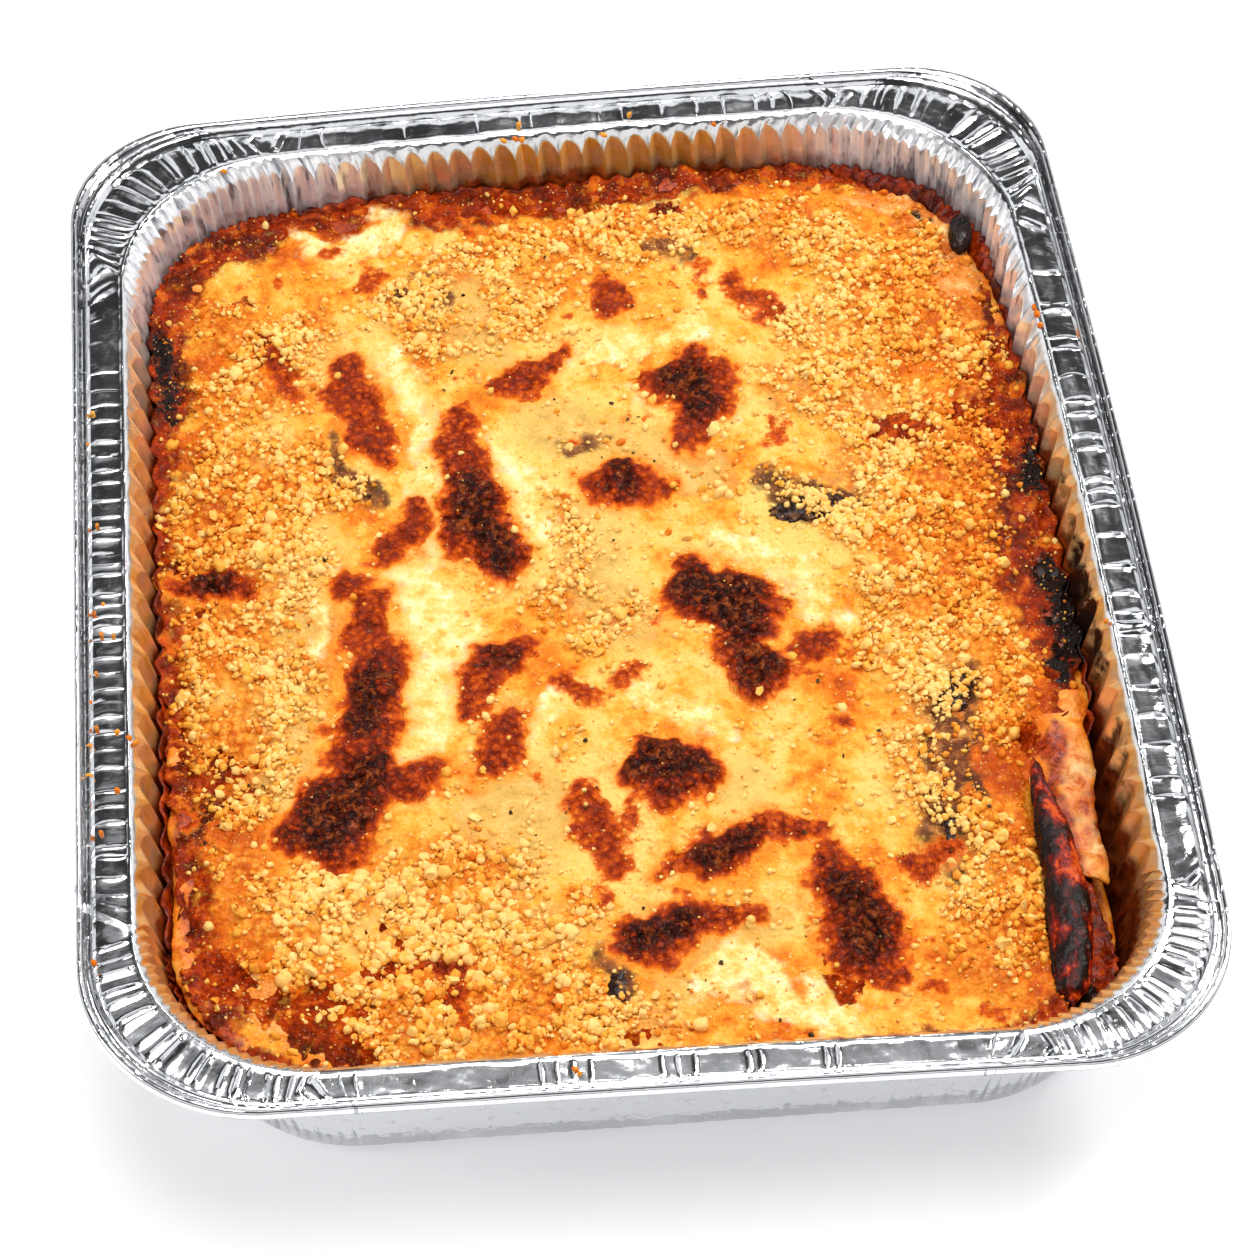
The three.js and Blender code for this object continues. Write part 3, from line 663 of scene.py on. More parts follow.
class Finish:
    """A material and short ways of adding nodes to it. Sizes of its patterns are in millimetres."""

    def __init__(self, name, **sockets):
        self.material = bpy.data.materials.new(name)
        self.material.use_nodes = True
        self.nodes = self.material.node_tree.nodes
        self.links = self.material.node_tree.links
        self.shader = self.nodes["Principled BSDF"]
        self.place = self.nodes.new("ShaderNodeTexCoord").outputs["Object"]
        self.set(**sockets)

    def set(self, **sockets):
        """Sets the shader's sockets, named with _ for a space, to values or links them to outputs."""
        for key, value in sockets.items():
            self.plug(value, self.shader.inputs[key.replace("_", " ")])

    def plug(self, value, socket):
        if isinstance(value, bpy.types.NodeSocket):
            self.links.new(value, socket)
        elif isinstance(value, tuple) and len(value) == 3 and len(socket.default_value) == 4:
            socket.default_value = (*value, 1)
        else:
            socket.default_value = value

    def attribute(self, name):
        node = self.nodes.new("ShaderNodeAttribute")
        node.attribute_name = name
        return node.outputs["Fac"]

    def noise(self, size, detail=3, roughness=0.5, place=None):
        node = self.nodes.new("ShaderNodeTexNoise")
        node.inputs["Scale"].default_value = 1 / (size * MM)
        node.inputs["Detail"].default_value = detail
        node.inputs["Roughness"].default_value = roughness
        self.links.new(place or self.place, node.inputs["Vector"])
        return node.outputs["Fac"]

    def cells(self, size):
        node = self.nodes.new("ShaderNodeTexVoronoi")
        node.inputs["Scale"].default_value = 1 / (size * MM)
        self.links.new(self.place, node.inputs["Vector"])
        return node.outputs["Distance"]

    def math(self, operation, first, second=0.0, clamp=False):
        node = self.nodes.new("ShaderNodeMath")
        node.operation = operation
        node.use_clamp = clamp
        self.plug(first, node.inputs[0])
        self.plug(second, node.inputs[1])
        return node.outputs["Value"]

    def add(self, first, second, clamp=False):
        return self.math("ADD", first, second, clamp)

    def times(self, first, second, clamp=False):
        return self.math("MULTIPLY", first, second, clamp)

    def span(self, value, low, high, to_low=0.0, to_high=1.0):
        node = self.nodes.new("ShaderNodeMapRange")
        self.links.new(value, node.inputs["Value"])
        for socket, number in zip(("From Min", "From Max", "To Min", "To Max"), (low, high, to_low, to_high)):
            node.inputs[socket].default_value = number
        return node.outputs["Result"]

    def shifted(self, value, pattern, amount, clamp=True):
        """A value moved up and down by as much as amount where a noise pattern is high and low."""
        return self.add(value, self.span(pattern, 0.3, 0.7, -amount, amount), clamp)

    def blend(self, share, first, second):
        node = self.nodes.new("ShaderNodeMix")
        node.data_type = "RGBA"
        self.plug(share, node.inputs[0])
        self.plug(first, node.inputs[6])
        self.plug(second, node.inputs[7])
        return node.outputs[2]

    def ramp(self, value, *stops):
        """A colour ramp of (position, colour) stops."""
        node = self.nodes.new("ShaderNodeValToRGB")
        fill_ramp(node.color_ramp, stops)
        self.links.new(value, node.inputs["Fac"])
        return node.outputs["Color"]

    def bump(self, height, distance, strength=1.0, below=None):
        """Relief distance millimetres high, from a height between 0 and 1."""
        node = self.nodes.new("ShaderNodeBump")
        node.inputs["Distance"].default_value = distance * MM
        node.inputs["Strength"].default_value = strength
        self.links.new(height, node.inputs["Height"])
        if below is not None:
            self.links.new(below, node.inputs["Normal"])
        return node.outputs["Normal"]

    def vector(self, x, y):
        node = self.nodes.new("ShaderNodeCombineXYZ")
        self.plug(x, node.inputs[0])
        self.plug(y, node.inputs[1])
        return node.outputs[0]


def fill_ramp(ramp, stops):
    while len(ramp.elements) < len(stops):
        ramp.elements.new(0.5)
    for element, (position, colour) in zip(ramp.elements, stops):
        element.position = position
        element.color = (*colour, 1)


# ---- Foil tray ----


class FoilTraySettings(bpy.types.PropertyGroup):
    flute_depth: length_setting("Flute depth", "Depth of the flutes in the wall", FLUTE_DEPTH)
    crease_height: length_setting("Crease height", "Height of the creases in the flange", 0.42)
    pleat_height: length_setting("Pleat height", "Height of the pleats at the corners", 0.5)
    roughness: FloatProperty(
        name="Roughness", description="Roughness of the clean foil", default=0.115, min=0, max=1,
        subtype="FACTOR",
    )
    silver: colour_setting("Foil", "Colour of the clean foil", (0.86, 0.87, 0.89))
    film: colour_setting("Baked film", "Colour of the oil baked on to the back wall", paint(236, 190, 84))
    copper: colour_setting("Copper film", "Colour of the oil baked on to the side walls", paint(246, 184, 96))


# The rim's section from the lip outwards, over the rolled edge and back under it: inset and height.
LIP_BEAD = ((13.9, 54.25), (13.5, 54.62), (13.1, 54.66), (12.6, 54.4))
FLANGE_INSETS = (12.1, 11.2, 10.2, 9.2, 8.2, 7.2, 6.3, 5.6, 5.0)
ROLLED_EDGE = (
    (4.6, 54.4), (4.3, 54.95), (3.9, 55.3), (3.5, 55.25), (3.2, 54.75), (2.8, 54.6), (2.4, 54.75),
    (2.0, 55.5), (1.6, 55.85), (1.1, 55.95), (0.7, 55.75), (0.35, 55.2), (0.2, 54.4), (0.45, 53.3),
    (1.4, 52.5), (2.8, 52.6),
)
UNDERSIDE = ((4.4, 53.4), (12.4, 53.7))
LIP_INSET, LIP_Z = LIP_BEAD[0]
FLANGE_START = LIP_BEAD[-1][0]
FLANGE_BREADTH = 7.6
CRIMPED_Z = 54.9  # what stands higher on the rolled edge is pinched by the creases
SLOPE_SHARES = (0.8, 0.55, 0.32, 0.14)  # rings on the slope between the lip and the fluted wall
SLOPE_ROUND = 0.03  # how round the slope is below the lip
WALL_HEIGHTS = (5, 28, 34, 37, 39.5, 42, 44.5)
WALL_SHARES = (0.4, 0.75, 0.95, 1)  # rings between the last of those heights and the slope
OUTER_HEIGHTS = (45, 22, 4.5)
FLOOR_MARGIN = 7.5  # breadth of the rounded edge of the floor

# Distance over the foil from the rim's outer edge: on the wall less the height, at its foot and on the floor.
ACROSS_WALL = 64.5
ACROSS_FOOT = 65
ACROSS_FLOOR = 70
ACROSS_SLOPE = 20

# Creases across each side of the flange: half width, height as a share, and the x (front and back) or y
# (right and left) of each.
CREASES = {
    FRONT: ((0.9, 1.0, (-79, -75, -31, -27, -23, -19, -2, 2, 6, 18.5, 21.5, 37, 40, 79)),),
    RIGHT: (
        (1.15, 1.35, (
            91, 75.6, 43, 38, 30, 14.5, 5.8, -4.2, -14.7, -24.5, -34, -37.5, -45, -55, -64.6, -73.6,
        )),
        (0.7, 1.0, (79, 66, 62, 51.5, 25.3, 10.4, -30.3, -84.4, -90)),
    ),
    BACK: ((0.8, 0.7, (-78, -70, -46, -24, -11, -7.6, 12.7, 19.5, 31.5, 42, 50.5, 60, 65, 71)),),
    LEFT: (
        (0.5, 0.65, (
            72.6, 60.6, 48, 43, 33.6, 27.7, 17.4, 9.4, 2.4, -4.2, -11.7, -19, -25, -30, -44, -54, -67,
        )),
        (0.8, 1.0, (-77, -84, -87, -93, -99, -104)),
        (0.6, 0.5, (66, 55, 38, 22, 14, 6, -8, -15, -35, -39, -49, -60, -72)),
    ),
}
PLEATS = (23, 23, 21, 22)  # at the front left, front right, back right and back left corner


def side_stop(side, place):
    """The stop t at which a side of the flange passes an x (front, back) or a y (right, left)."""
    axis = 1 if side in (RIGHT, LEFT) else 0
    t = np.linspace(2 * side + 0.8, 2 * side + 2.2, 500)
    line = flange_outline(9).at(t)[:, axis] - RIM_CENTRE[axis]
    order = np.argsort(line)
    return float(np.interp(place, line[order], t[order]))


def crease_places():
    """Creases across the flange: t, half width in mm and height as a share."""
    random = np.random.default_rng(11)
    creases = []
    for side, groups in CREASES.items():
        for width, height, places in groups:
            for place in places:
                change = random.uniform(0.75, 1.25, 2)
                creases.append((side_stop(side, place), width * change[0], height * change[1]))
    return creases


def pleat_places():
    """Pleats round the corners of the flange: slender leaves with flat foil between them."""
    random = np.random.default_rng(12)
    pleats = []
    for corner, count in enumerate(PLEATS):
        for k in range(count):
            t = 2 * corner + (k + 0.5 + random.uniform(-0.35, 0.35)) / count
            pleats.append((t, random.uniform(0.6, 1.2), random.uniform(0.6, 1.5)))
    return pleats


NARROW_END = 0.93  # place within a flute at which its narrow panel ends
SIDE_PHASES = (0, 0.06, 0.16, 0.36, FLUTE_VALLEY, 0.8, NARROW_END)
CORNER_PHASES = (0, 0.3, FLUTE_VALLEY, 0.8)
EVEN_STOPS = 160
LEAST_STEP = 0.16  # between two stops on the wall


def tray_stops(creases, pleats):
    """Values of t for the tray's points: dense round each ridge of the flutes and each crease."""
    stops = [k / EVEN_STOPS * LAP for k in range(EVEN_STOPS)]
    for i, flutes in enumerate(FLUTES_PER_SIDE):
        corner = (2 * i, PLEATS_PER_CORNER, CORNER_PHASES)
        for first, count, phases in (corner, (2 * i + 1, flutes, SIDE_PHASES)):
            stops += [first + (k + phase) / count for k in range(count) for phase in phases]
    for folds, steps in ((creases, (-0.85, -0.4, 0, 0.4, 0.85)), (pleats, (-0.8, 0, 0.8))):
        for t, width, _ in folds:
            mm_per_t = np.linalg.norm(WALL_HEAD.at(t + 0.01) - WALL_HEAD.at(t - 0.01)) / 0.02
            stops += [(t + step * width / mm_per_t) % LAP for step in steps]
    stops = np.unique(np.round(np.array(stops) % LAP, 5))
    places = WALL_HEAD.at(stops)
    gap = np.linalg.norm(places - np.roll(places, 1, axis=0), axis=1)
    return stops[gap > LEAST_STEP]


def flange_skew(t):
    """How far each stop moves on along the rim's edge, so that lines over the flange are square to it."""
    lip = flange_outline(LIP_INSET).at(t)
    near = np.linspace(-0.16, 0.16, 641)
    rim = flange_outline(FLANGE_INSETS[-1]).at(t[:, None] + near)
    skew = near[np.linalg.norm(rim - lip[:, None], axis=-1).argmin(axis=1)]
    around = np.concatenate([skew[-20:], skew, skew[:20]])
    return np.convolve(around, np.ones(41) / 41, mode="valid")


def run_table():
    """Stops round the tray and the millimetres along the flange up to each."""
    stops = np.linspace(0, LAP, 4000)
    steps = np.linalg.norm(np.diff(flange_outline(6).at(stops), axis=0), axis=1)
    return stops, np.concatenate([[0], np.cumsum(steps)])


RUN_TABLE = run_table()


def distance_along(t):
    """Millimetres round the tray from t = 0."""
    return np.interp(t, *RUN_TABLE)


def crease_relief(across, creases, run):
    """Height of the creases at places run, where across is 0 at the lip and 1 at the rolled edge."""
    relief = np.zeros(len(run))
    total = distance_along(LAP)
    for place, width, height in creases:
        aside = (run - distance_along(place) + total / 2) % total - total / 2
        spread = width * (0.35 + 1.5 * across * (1.15 - across))
        up = np.clip(1 - np.abs(aside) / spread, 0, 1)
        slant = np.where(aside < 0, 1.0, 0.75)
        relief = np.maximum(relief, height * up * slant)
    ends = smoothstep(across, 0, 0.12) * (1 - smoothstep(across, 0.92, 1.0))
    return relief * ends


def taper(z):
    """The flutes fade out towards the foot of the wall."""
    return smoothstep(np.asarray(z, float), -6, 24)


def slope_drop(share):
    """How far the slope below the lip has come down, where share is 0 at the lip and 1 at the wall."""
    start = math.sqrt(SLOPE_ROUND)
    return (math.sqrt(share**2 + SLOPE_ROUND) - start) / (math.sqrt(1 + SLOPE_ROUND) - start)


def slope_cover(t):
    """How far the baked film reaches up the slope below the lip: not at the back."""
    back = smoothstep(t, 3.7, 4.0) * (1 - smoothstep(t, 6.95, 7.2))
    return 1 - 0.9 * back


class TraySkin:
    """The tray's skin as rings of points, from the middle of the floor over the rim to the underside."""

    def __init__(self, settings):
        self.creases = crease_places()
        self.pleats = pleat_places()
        self.t = tray_stops(self.creases, self.pleats)
        self.run = distance_along(self.t)
        self.on_corner = smoothstep(np.abs(self.t % 2 - 0.5), 0.56, 0.44)
        crumple = 0.3 * self.on_corner * smooth_noise(self.run, 0, 3.1, 33)
        self.push = flute_push(self.t, settings.flute_depth / MM) + crumple
        self.skew = flange_skew(self.t)
        self.crease_height = settings.crease_height / MM
        self.pleat_height = settings.pleat_height / MM
        self.points, self.film, self.across = [], [], []
        self.add_inner_wall()
        self.add_slope()
        self.add_flange()
        self.add_rolled_edge()
        self.add_outer_wall()
        self.points, self.film, self.across = map(np.array, (self.points, self.film, self.across))

    def add(self, places, z, film, across):
        """A ring of points with the share of baked film on it and its distance over the foil."""
        self.points.append(np.column_stack([places, np.broadcast_to(z, self.t.shape)]))
        self.film.append(np.broadcast_to(film, self.t.shape))
        self.across.append(np.broadcast_to(across, self.t.shape))

    def flange(self, inset, warp=0.0):
        """Places on the flange at a distance inside its outer edge."""
        reach = (LIP_INSET - inset) / (LIP_INSET - FLANGE_INSETS[-1])
        return flange_outline(inset).at(self.t + self.skew * reach + warp)

    def add_inner_wall(self):
        self.add(wall_points(self.t, 0, -FLOOR_MARGIN), FOIL, 1.0, ACROSS_FLOOR)
        self.add(wall_points(self.t, 0, -2), 1.1 + FOIL, 1.0, ACROSS_FOOT)
        for z in WALL_HEIGHTS:
            self.add(wall_points(self.t, z, self.push * taper(z)), z, 1.0, ACROSS_WALL - z)
        junction = junction_height(self.t)
        for share in WALL_SHARES:
            z = mix(WALL_HEIGHTS[-1], junction, share)
            self.add(wall_points(self.t, z, self.push), z, 1.0, ACROSS_WALL - z)
        self.head = self.points[-1]

    def add_slope(self):
        """The slope from the fluted wall up to the lip, which keeps the flutes' folds at the corners."""
        lip = self.flange(LIP_INSET)
        cover = slope_cover(self.t)
        for share in SLOPE_SHARES:
            fold = WALL_HEAD.outward(self.t) * (self.push * self.on_corner * (share**0.4 - share))[:, None]
            z = mix(LIP_Z, self.head[:, 2], slope_drop(share))
            film = smoothstep(share, 0.05, 0.3) * cover
            self.add(mix(lip, self.head[:, :2], share) + fold, z, film, LIP_INSET + 4 * share)

    def add_flange(self):
        dent = 0.12 * smooth_noise(self.run, 0, 7, 31)
        for inset, z in LIP_BEAD:
            self.add(self.flange(inset), z + dent, 0.0, inset)
        wander = 0.5 * smooth_noise(self.run, 0, 14, 41)
        for inset in FLANGE_INSETS:
            share = (FLANGE_START - inset) / FLANGE_BREADTH
            warp = wander * math.sin(math.pi * share) / 130
            self.add(self.flange(inset, warp), FLANGE_Z + self.flange_rise(inset, share), 0.0, inset)

    def flange_rise(self, inset, share):
        """Height of the flange's creases, pleats and dents, and of its edge, which is turned down."""
        left = smoothstep(self.t, 6.6, 7.0)
        front = smoothstep(self.t, 0.5, 1.0) * (1 - smoothstep(self.t, 2.0, 2.4))
        ragged = 0.12 * smooth_noise(self.run, 0, 5, 42)
        creases = self.crease_height * crease_relief(share, self.creases, self.run)
        rise = np.maximum(creases, self.pleat_height * crease_relief(share, self.pleats, self.run))
        rise = rise + 0.1 * smooth_noise(self.run, 1.3 * inset, 7, 51)
        rise = rise + (0.045 + 0.05 * left) * smooth_noise(self.run, 0.6 * inset, 2.8, 52)
        return rise - (0.4 - 0.34 * front) * smoothstep(share + ragged, 0.6, 1.05)

    def add_rolled_edge(self):
        crimp = self.crease_height * crease_relief(0.9, self.creases + self.pleats, self.run)
        for inset, z in ROLLED_EDGE:
            pinch = 0.2 * crimp * (1 if z > CRIMPED_Z else 0)
            self.add(self.flange(inset), np.minimum(z - pinch, TRAY_HEIGHT), 0.0, inset)
        for inset, z in UNDERSIDE:
            self.add(self.flange(inset), z, 0.0, inset)

    def add_outer_wall(self):
        slope = mix(self.flange(LIP_INSET), self.head[:, :2], 0.6) + WALL_HEAD.outward(self.t) * 0.4
        self.add(slope, mix(LIP_Z, self.head[:, 2], 0.55) - 0.1, 0.0, ACROSS_SLOPE)
        fluted = np.maximum(0.35 * self.push + FOIL, self.push + 0.15)
        for z in OUTER_HEIGHTS:
            out = mix(FOIL, fluted, taper(z))
            self.add(wall_points(self.t, z, out), z, 0.0, ACROSS_WALL - z)
        self.add(wall_points(self.t, 0, -1.6), 1.0, 0.0, ACROSS_FOOT)
        self.add(wall_points(self.t, 0, -FLOOR_MARGIN), 0.0, 0.0, ACROSS_FLOOR)


def clean_corner(t):
    """How little film has baked on to the wall: the two corners at the back stay silver."""
    back_left = 1 - smoothstep(np.abs(t - 6.45), 0.5, 0.75)
    back_right = 1 - smoothstep(np.abs(t - 4.4), 0.45, 0.8)
    return np.maximum(back_left, back_right)


def rim_shade(skin, narrow):
    """Painted shade on the clean foil at the sides and the back: a painted shadow along the rim's outermost
    edge, a lighter painted shade over the rolled edge, and painted shade on the outer wall, most on its narrow
    panels.
    """
    z = skin.points[..., 2]
    behind = smoothstep(skin.t, 2.7, 3.2) * (1 - smoothstep(skin.t, 6.8, 7.3))
    outer_wall = (skin.film == 0) & (skin.across > 19) & (z < 46)
    edge = np.where(skin.across < 0.5, 1, np.where(skin.across < 3.4, 0.3, 0)) * (z > WALL_TOP)
    return np.where(outer_wall, 0.2 + 0.34 * narrow, edge) * behind


def tray_marks(skin):
    """What the foil's material needs to know at each point."""
    t, run = skin.t, skin.run
    x, y, z = np.moveaxis(skin.points, -1, 0)
    inside = skin.film > 0
    clean = clean_corner(t)
    patches = 1 - 0.3 * smoothstep(smooth_noise(run, 0, 30, 61), 0, 0.8)
    level = 39.0 + 2.2 * rough_noise(run, 0, 12, 62, 4, 0.6) + 3 * hump(t, 3.55, 0.6)
    # Partly sauce baked on to the wall near the food and partly a painted reflection of the sauce in the wall's
    # lower part.
    stain = np.where(inside, 1 - smoothstep(z, level, level + 6.5), 0) * (1 - 0.5 * inside * clean)
    burnt = stroke_field(x - RIM_CENTRE[0], y - RIM_CENTRE[1], {**CHAR_STROKES, **WALL_SOOT}, 9)
    side = 1 - smoothstep(t, 4.6, 5.1) * (1 - smoothstep(t, 6.2, 6.8))
    phase = flute_phase(t)
    narrow = smoothstep(phase, FLUTE_VALLEY, FLUTE_VALLEY + 0.06) * (1 - smoothstep(phase, NARROW_END, 1))
    at_back = smoothstep(t, 4.7, 5.0) * (1 - smoothstep(t, 6.0, 6.3))
    return {
        "film": skin.film * (patches * (1 - 0.97 * clean)),
        "stain": stain,
        "char": np.where(inside, burnt * (1 - smoothstep(z, WALL_TOP, 54)), 0),
        "around": np.broadcast_to(run, z.shape),
        "across": skin.across,
        "copper": np.broadcast_to(side, z.shape),
        "pale": inside * clean,
        "rim_shade": rim_shade(skin, narrow),
        # Which panel of a flute a point is on, for the painted highlight on the narrow panels and the painted
        # dark reflection on the wide ones, darker at the back.
        "panel": np.broadcast_to(np.where(narrow > 0.5, 1, -1 - at_back), z.shape),
    }


def build_foil_tray(settings):
    skin = TraySkin(settings)
    tray = closed_rings("tray_foil", skin.points, (0, 0, FOIL), (0, 0, 0), tray_marks(skin), 38)
    return finish_piece(tray, foil_material(settings), "foil", "foil_tray")


def film_colour(look, streaks, settings):
    """Oil baked on to the wall: golden at the back, copper at the sides. The narrow panels of the flutes are
    painted lighter, a painted highlight, and the wide ones darker, most at the back, a painted dark reflection.
    """
    baked = look.blend(look.attribute("copper"), tuple(settings.film), tuple(settings.copper))
    baked = look.blend(look.span(streaks, 0.42, 0.72, 0, 0.6), baked, paint(150, 82, 36))
    panel = look.attribute("panel")
    # Painted highlight: the narrow panels lighter.
    baked = look.blend(look.span(panel, 0, 1, 0, 0.6), baked, paint(255, 226, 158))
    # Painted dark reflection: the wide panels darker, most at the back.
    return look.blend(look.span(panel, 0, -2, 0, 0.5), baked, paint(150, 104, 36))


def clean_colour(look, streaks, pale, settings):
    """Clean foil, with bright and dark pleats at the back corners: painted highlights and painted shade,
    standing in for the light that the creased foil catches.
    """
    # Painted highlights and painted shade of the pleats.
    pleats = look.ramp(
        streaks, (0.38, paint(128, 132, 142)), (0.48, paint(232, 236, 242)), (0.6, paint(255, 255, 255)),
    )
    # The clean foil darkened by the painted shade and shadow of rim_shade.
    silver = look.blend(look.attribute("rim_shade"), tuple(settings.silver), paint(70, 74, 82))
    return look.blend(pale, silver, pleats)


def foil_material(settings):
    look = Finish("Creased aluminium foil")
    pale = look.attribute("pale")
    across = look.times(look.attribute("across"), 0.16 * MM)
    radial = look.vector(look.times(look.attribute("around"), MM), across)
    streaks = look.noise(2.4, 4, 0.6, radial)
    patchy = look.span(look.noise(5, 4, 0.6), 0.3, 0.6, 0.75, 1.0)
    film = look.times(look.attribute("film"), patchy, clamp=True)
    clean = clean_colour(look, streaks, pale, settings)
    colour = look.blend(film, clean, film_colour(look, streaks, settings))
    # Sauce baked on, partly a painted reflection of the sauce in the wall: reddish brown and less metallic.
    stain = look.add(look.attribute("stain"), look.span(look.noise(2.6, 4, 0.6), 0.2, 0.8, -0.35, 0.35))
    stain = look.span(stain, 0.1, 0.85)
    dark = look.ramp(look.noise(3), (0.3, paint(78, 20, 6)), (0.7, paint(164, 72, 22)))
    colour = look.blend(stain, colour, dark)
    burnt = look.add(look.attribute("char"), look.span(look.noise(2.5, 4, 0.6), 0.2, 0.8, -0.4, 0.4))
    burnt = look.span(burnt, 0.35, 0.8)
    colour = look.blend(burnt, colour, paint(30, 15, 9))
    covered = look.math("MAXIMUM", stain, burnt)
    metal = look.times(look.span(film, 0, 1, 1.0, 0.6), look.span(covered, 0, 1, 1.0, 0.3))
    metal = look.times(metal, look.span(pale, 0, 1, 1.0, 0.42))
    cloud = look.span(look.noise(14, 3, 0.55), 0.3, 0.7, settings.roughness - 0.04, settings.roughness + 0.05)
    fine = look.bump(look.noise(0.9, 3, 0.6, radial), 0.05, 0.6)
    look.set(Base_Color=colour, Metallic=metal, Normal=look.bump(look.noise(5, 2, 0.5), 0.35, 0.5, fine))
    look.set(Roughness=look.add(cloud, look.times(film, 0.2)))
    return look.material


# ---- Filling, sheets and cheese ----


class FoodSettings(bpy.types.PropertyGroup):
    blister_height: length_setting("Blister height", "How far the brown blisters stand up", 1.8)
    cheese: colour_setting("Cheese", "Colour of the baked cheese", paint(241, 174, 62))
    cream: colour_setting("Cream", "Colour of the pale melted cheese", paint(248, 200, 104))
    blister: colour_setting("Blister", "Colour of the darkest brown blisters", paint(34, 10, 5))
    sauce: colour_setting("Sauce", "Colour of the tomato sauce", paint(168, 54, 4))
    sheet: colour_setting("Pasta", "Colour of the pasta sheets", paint(236, 132, 28))


def grown(strokes, more):
    return {key: [(x, y, radius + more) for x, y, radius in chain] for key, chain in strokes.items()}


def char_field(x, y):
    return stroke_field(x, y, CHAR_STROKES, 9, 3, 11)


def food_masks(x, y):
    """Where each finish of the baked surface lies, at places in the shared frame."""
    brown = stroke_field(x, y, grown(BROWN_STROKES, 0.5), 5, 3, 5)
    deep = stroke_field(x, y, DEEP_STROKES, 9, 2.4, 5)
    cream = stroke_field(x, y, grown(CREAM_STROKES, -0.8), 8, 3.6, 7) * (1 - smoothstep(brown, 0.1, 0.5))
    crumb = stroke_field(x, y, CRUMB_STROKES, 10, 3, 9) * (1 - brown) * (1 - 0.85 * cream)
    blotches = smoothstep(rough_noise(x, y, 17, 12, 4, 0.6), 0.4, 1.1) * (1 - cream) * (1 - 0.85 * crumb)
    tan = np.maximum(0.5 * stroke_field(x, y, TAN_STROKES, 6, 2.6, 6), 0.42 * blotches)
    return {
        "brown": np.maximum(brown * (0.54 + 0.46 * deep), tan),
        "halo": stroke_field(x, y, grown(BROWN_STROKES, 3), 8, 3, 5),
        "cream": cream,
        "veil": stroke_field(x, y, VEIL_STROKES, 9, 3, 8) * (1 - brown) * (1 - 0.7 * cream),
        "crumb": crumb,
        "red": stroke_field(x, y, RED_STROKES, 10, 4, 10) * (1 - 0.6 * cream),
        "char": char_field(x, y),
        "fold": stroke_field(x, y, FOLD_STROKES, 8, 3, 13),
        "dusk": stroke_field(x, y, DUSK_STROKES, 6, 3, 14) * (1 - brown),
    }


def baked_relief(x, y, masks, blister_height):
    """Small ups and downs of the baked surface."""
    bubbles = 0.5 - cells(x, y, 2.9, 71)
    grains = 0.5 - cells(x, y, 2.3, 72)
    pits = smoothstep(cells(x, y, 6, 75), 0.0, 0.3)
    lumps = rough_noise(x, y, 10, 73, 4, 0.62)
    folds = rough_noise(x, y, 7, 77, 3, 0.6)
    brown = smoothstep(masks["brown"], 0.25, 0.8)
    smooth = np.maximum(masks["cream"], 0.7 * masks["veil"])
    relief = blister_height * brown * (0.7 + 1.3 * bubbles + 0.4 * lumps)
    relief = relief + masks["crumb"] * (0.3 + 1.2 * grains + 0.4 * lumps)
    relief = relief + (1 - smooth) * (1 - brown) * (0.5 * lumps + 0.35 * grains + 0.35 * (pits - 1))
    relief = relief + masks["sauce"] * (0.9 * folds + 1.2 * (0.4 - cells(x, y, 4.6, 76)))
    return relief + 0.3 * smooth * lumps + masks["char"] * 0.6 * bubbles


def square_grid(count):
    """Shares of the way out and stops t for a square grid laid over a rounded outline."""
    line = np.linspace(-1, 1, count)
    u, v = np.meshgrid(line, line, indexing="ij")
    out = np.maximum(np.abs(u), np.abs(v))
    safe = np.where(out == 0, 1, out)
    u, v = u / safe, v / safe
    # Each side of the square covers half a corner, a side and half a corner of the outline.
    run = np.select(
        [v <= -1 + 1e-9, u >= 1 - 1e-9, v >= 1 - 1e-9],
        [(u + 1) / 2, 1 + (v + 1) / 2, 2 + (1 - u) / 2],
        3 + (1 - v) / 2,
    )
    return out, run % 4


def run_to_stop(run):
    """Stop t on the outline for a place on the square, 0 to 4 from its front left corner, by length."""
    stops = []
    shares = []
    for side in range(4):
        t = np.linspace(2 * side + 0.5, 2 * side + 2.5, 60)
        points = WALL_HEAD.at(t)
        length = np.concatenate([[0], np.cumsum(np.linalg.norm(np.diff(points, axis=0), axis=1))])
        stops.append(t[:-1])
        shares.append(side + length[:-1] / length[-1])
    return np.interp(run, np.concatenate(shares + [[4]]), np.concatenate(stops + [[LAP + 0.5]])) % LAP


def toast_field(x, y):
    """How orange the baked cheese is: pale in the middle, orange at the left, the back and the right."""
    left = 0.62 * (1 - smoothstep(x, -100, -62))
    right = 0.85 * smoothstep(x, 62, 96)
    back = 0.72 * smoothstep(y, 96, 126)
    front = 0.56 * (1 - smoothstep(y, -128, -84))
    field = np.maximum.reduce([left, right, back, front, np.full(x.shape, 0.27)])
    return np.clip(field + 0.4 * rough_noise(x, y, 30, 91, 4), 0, 1)


CHEESE_GRID = 311
EDGE_Z = 37.5  # about where the baked surface meets the wall


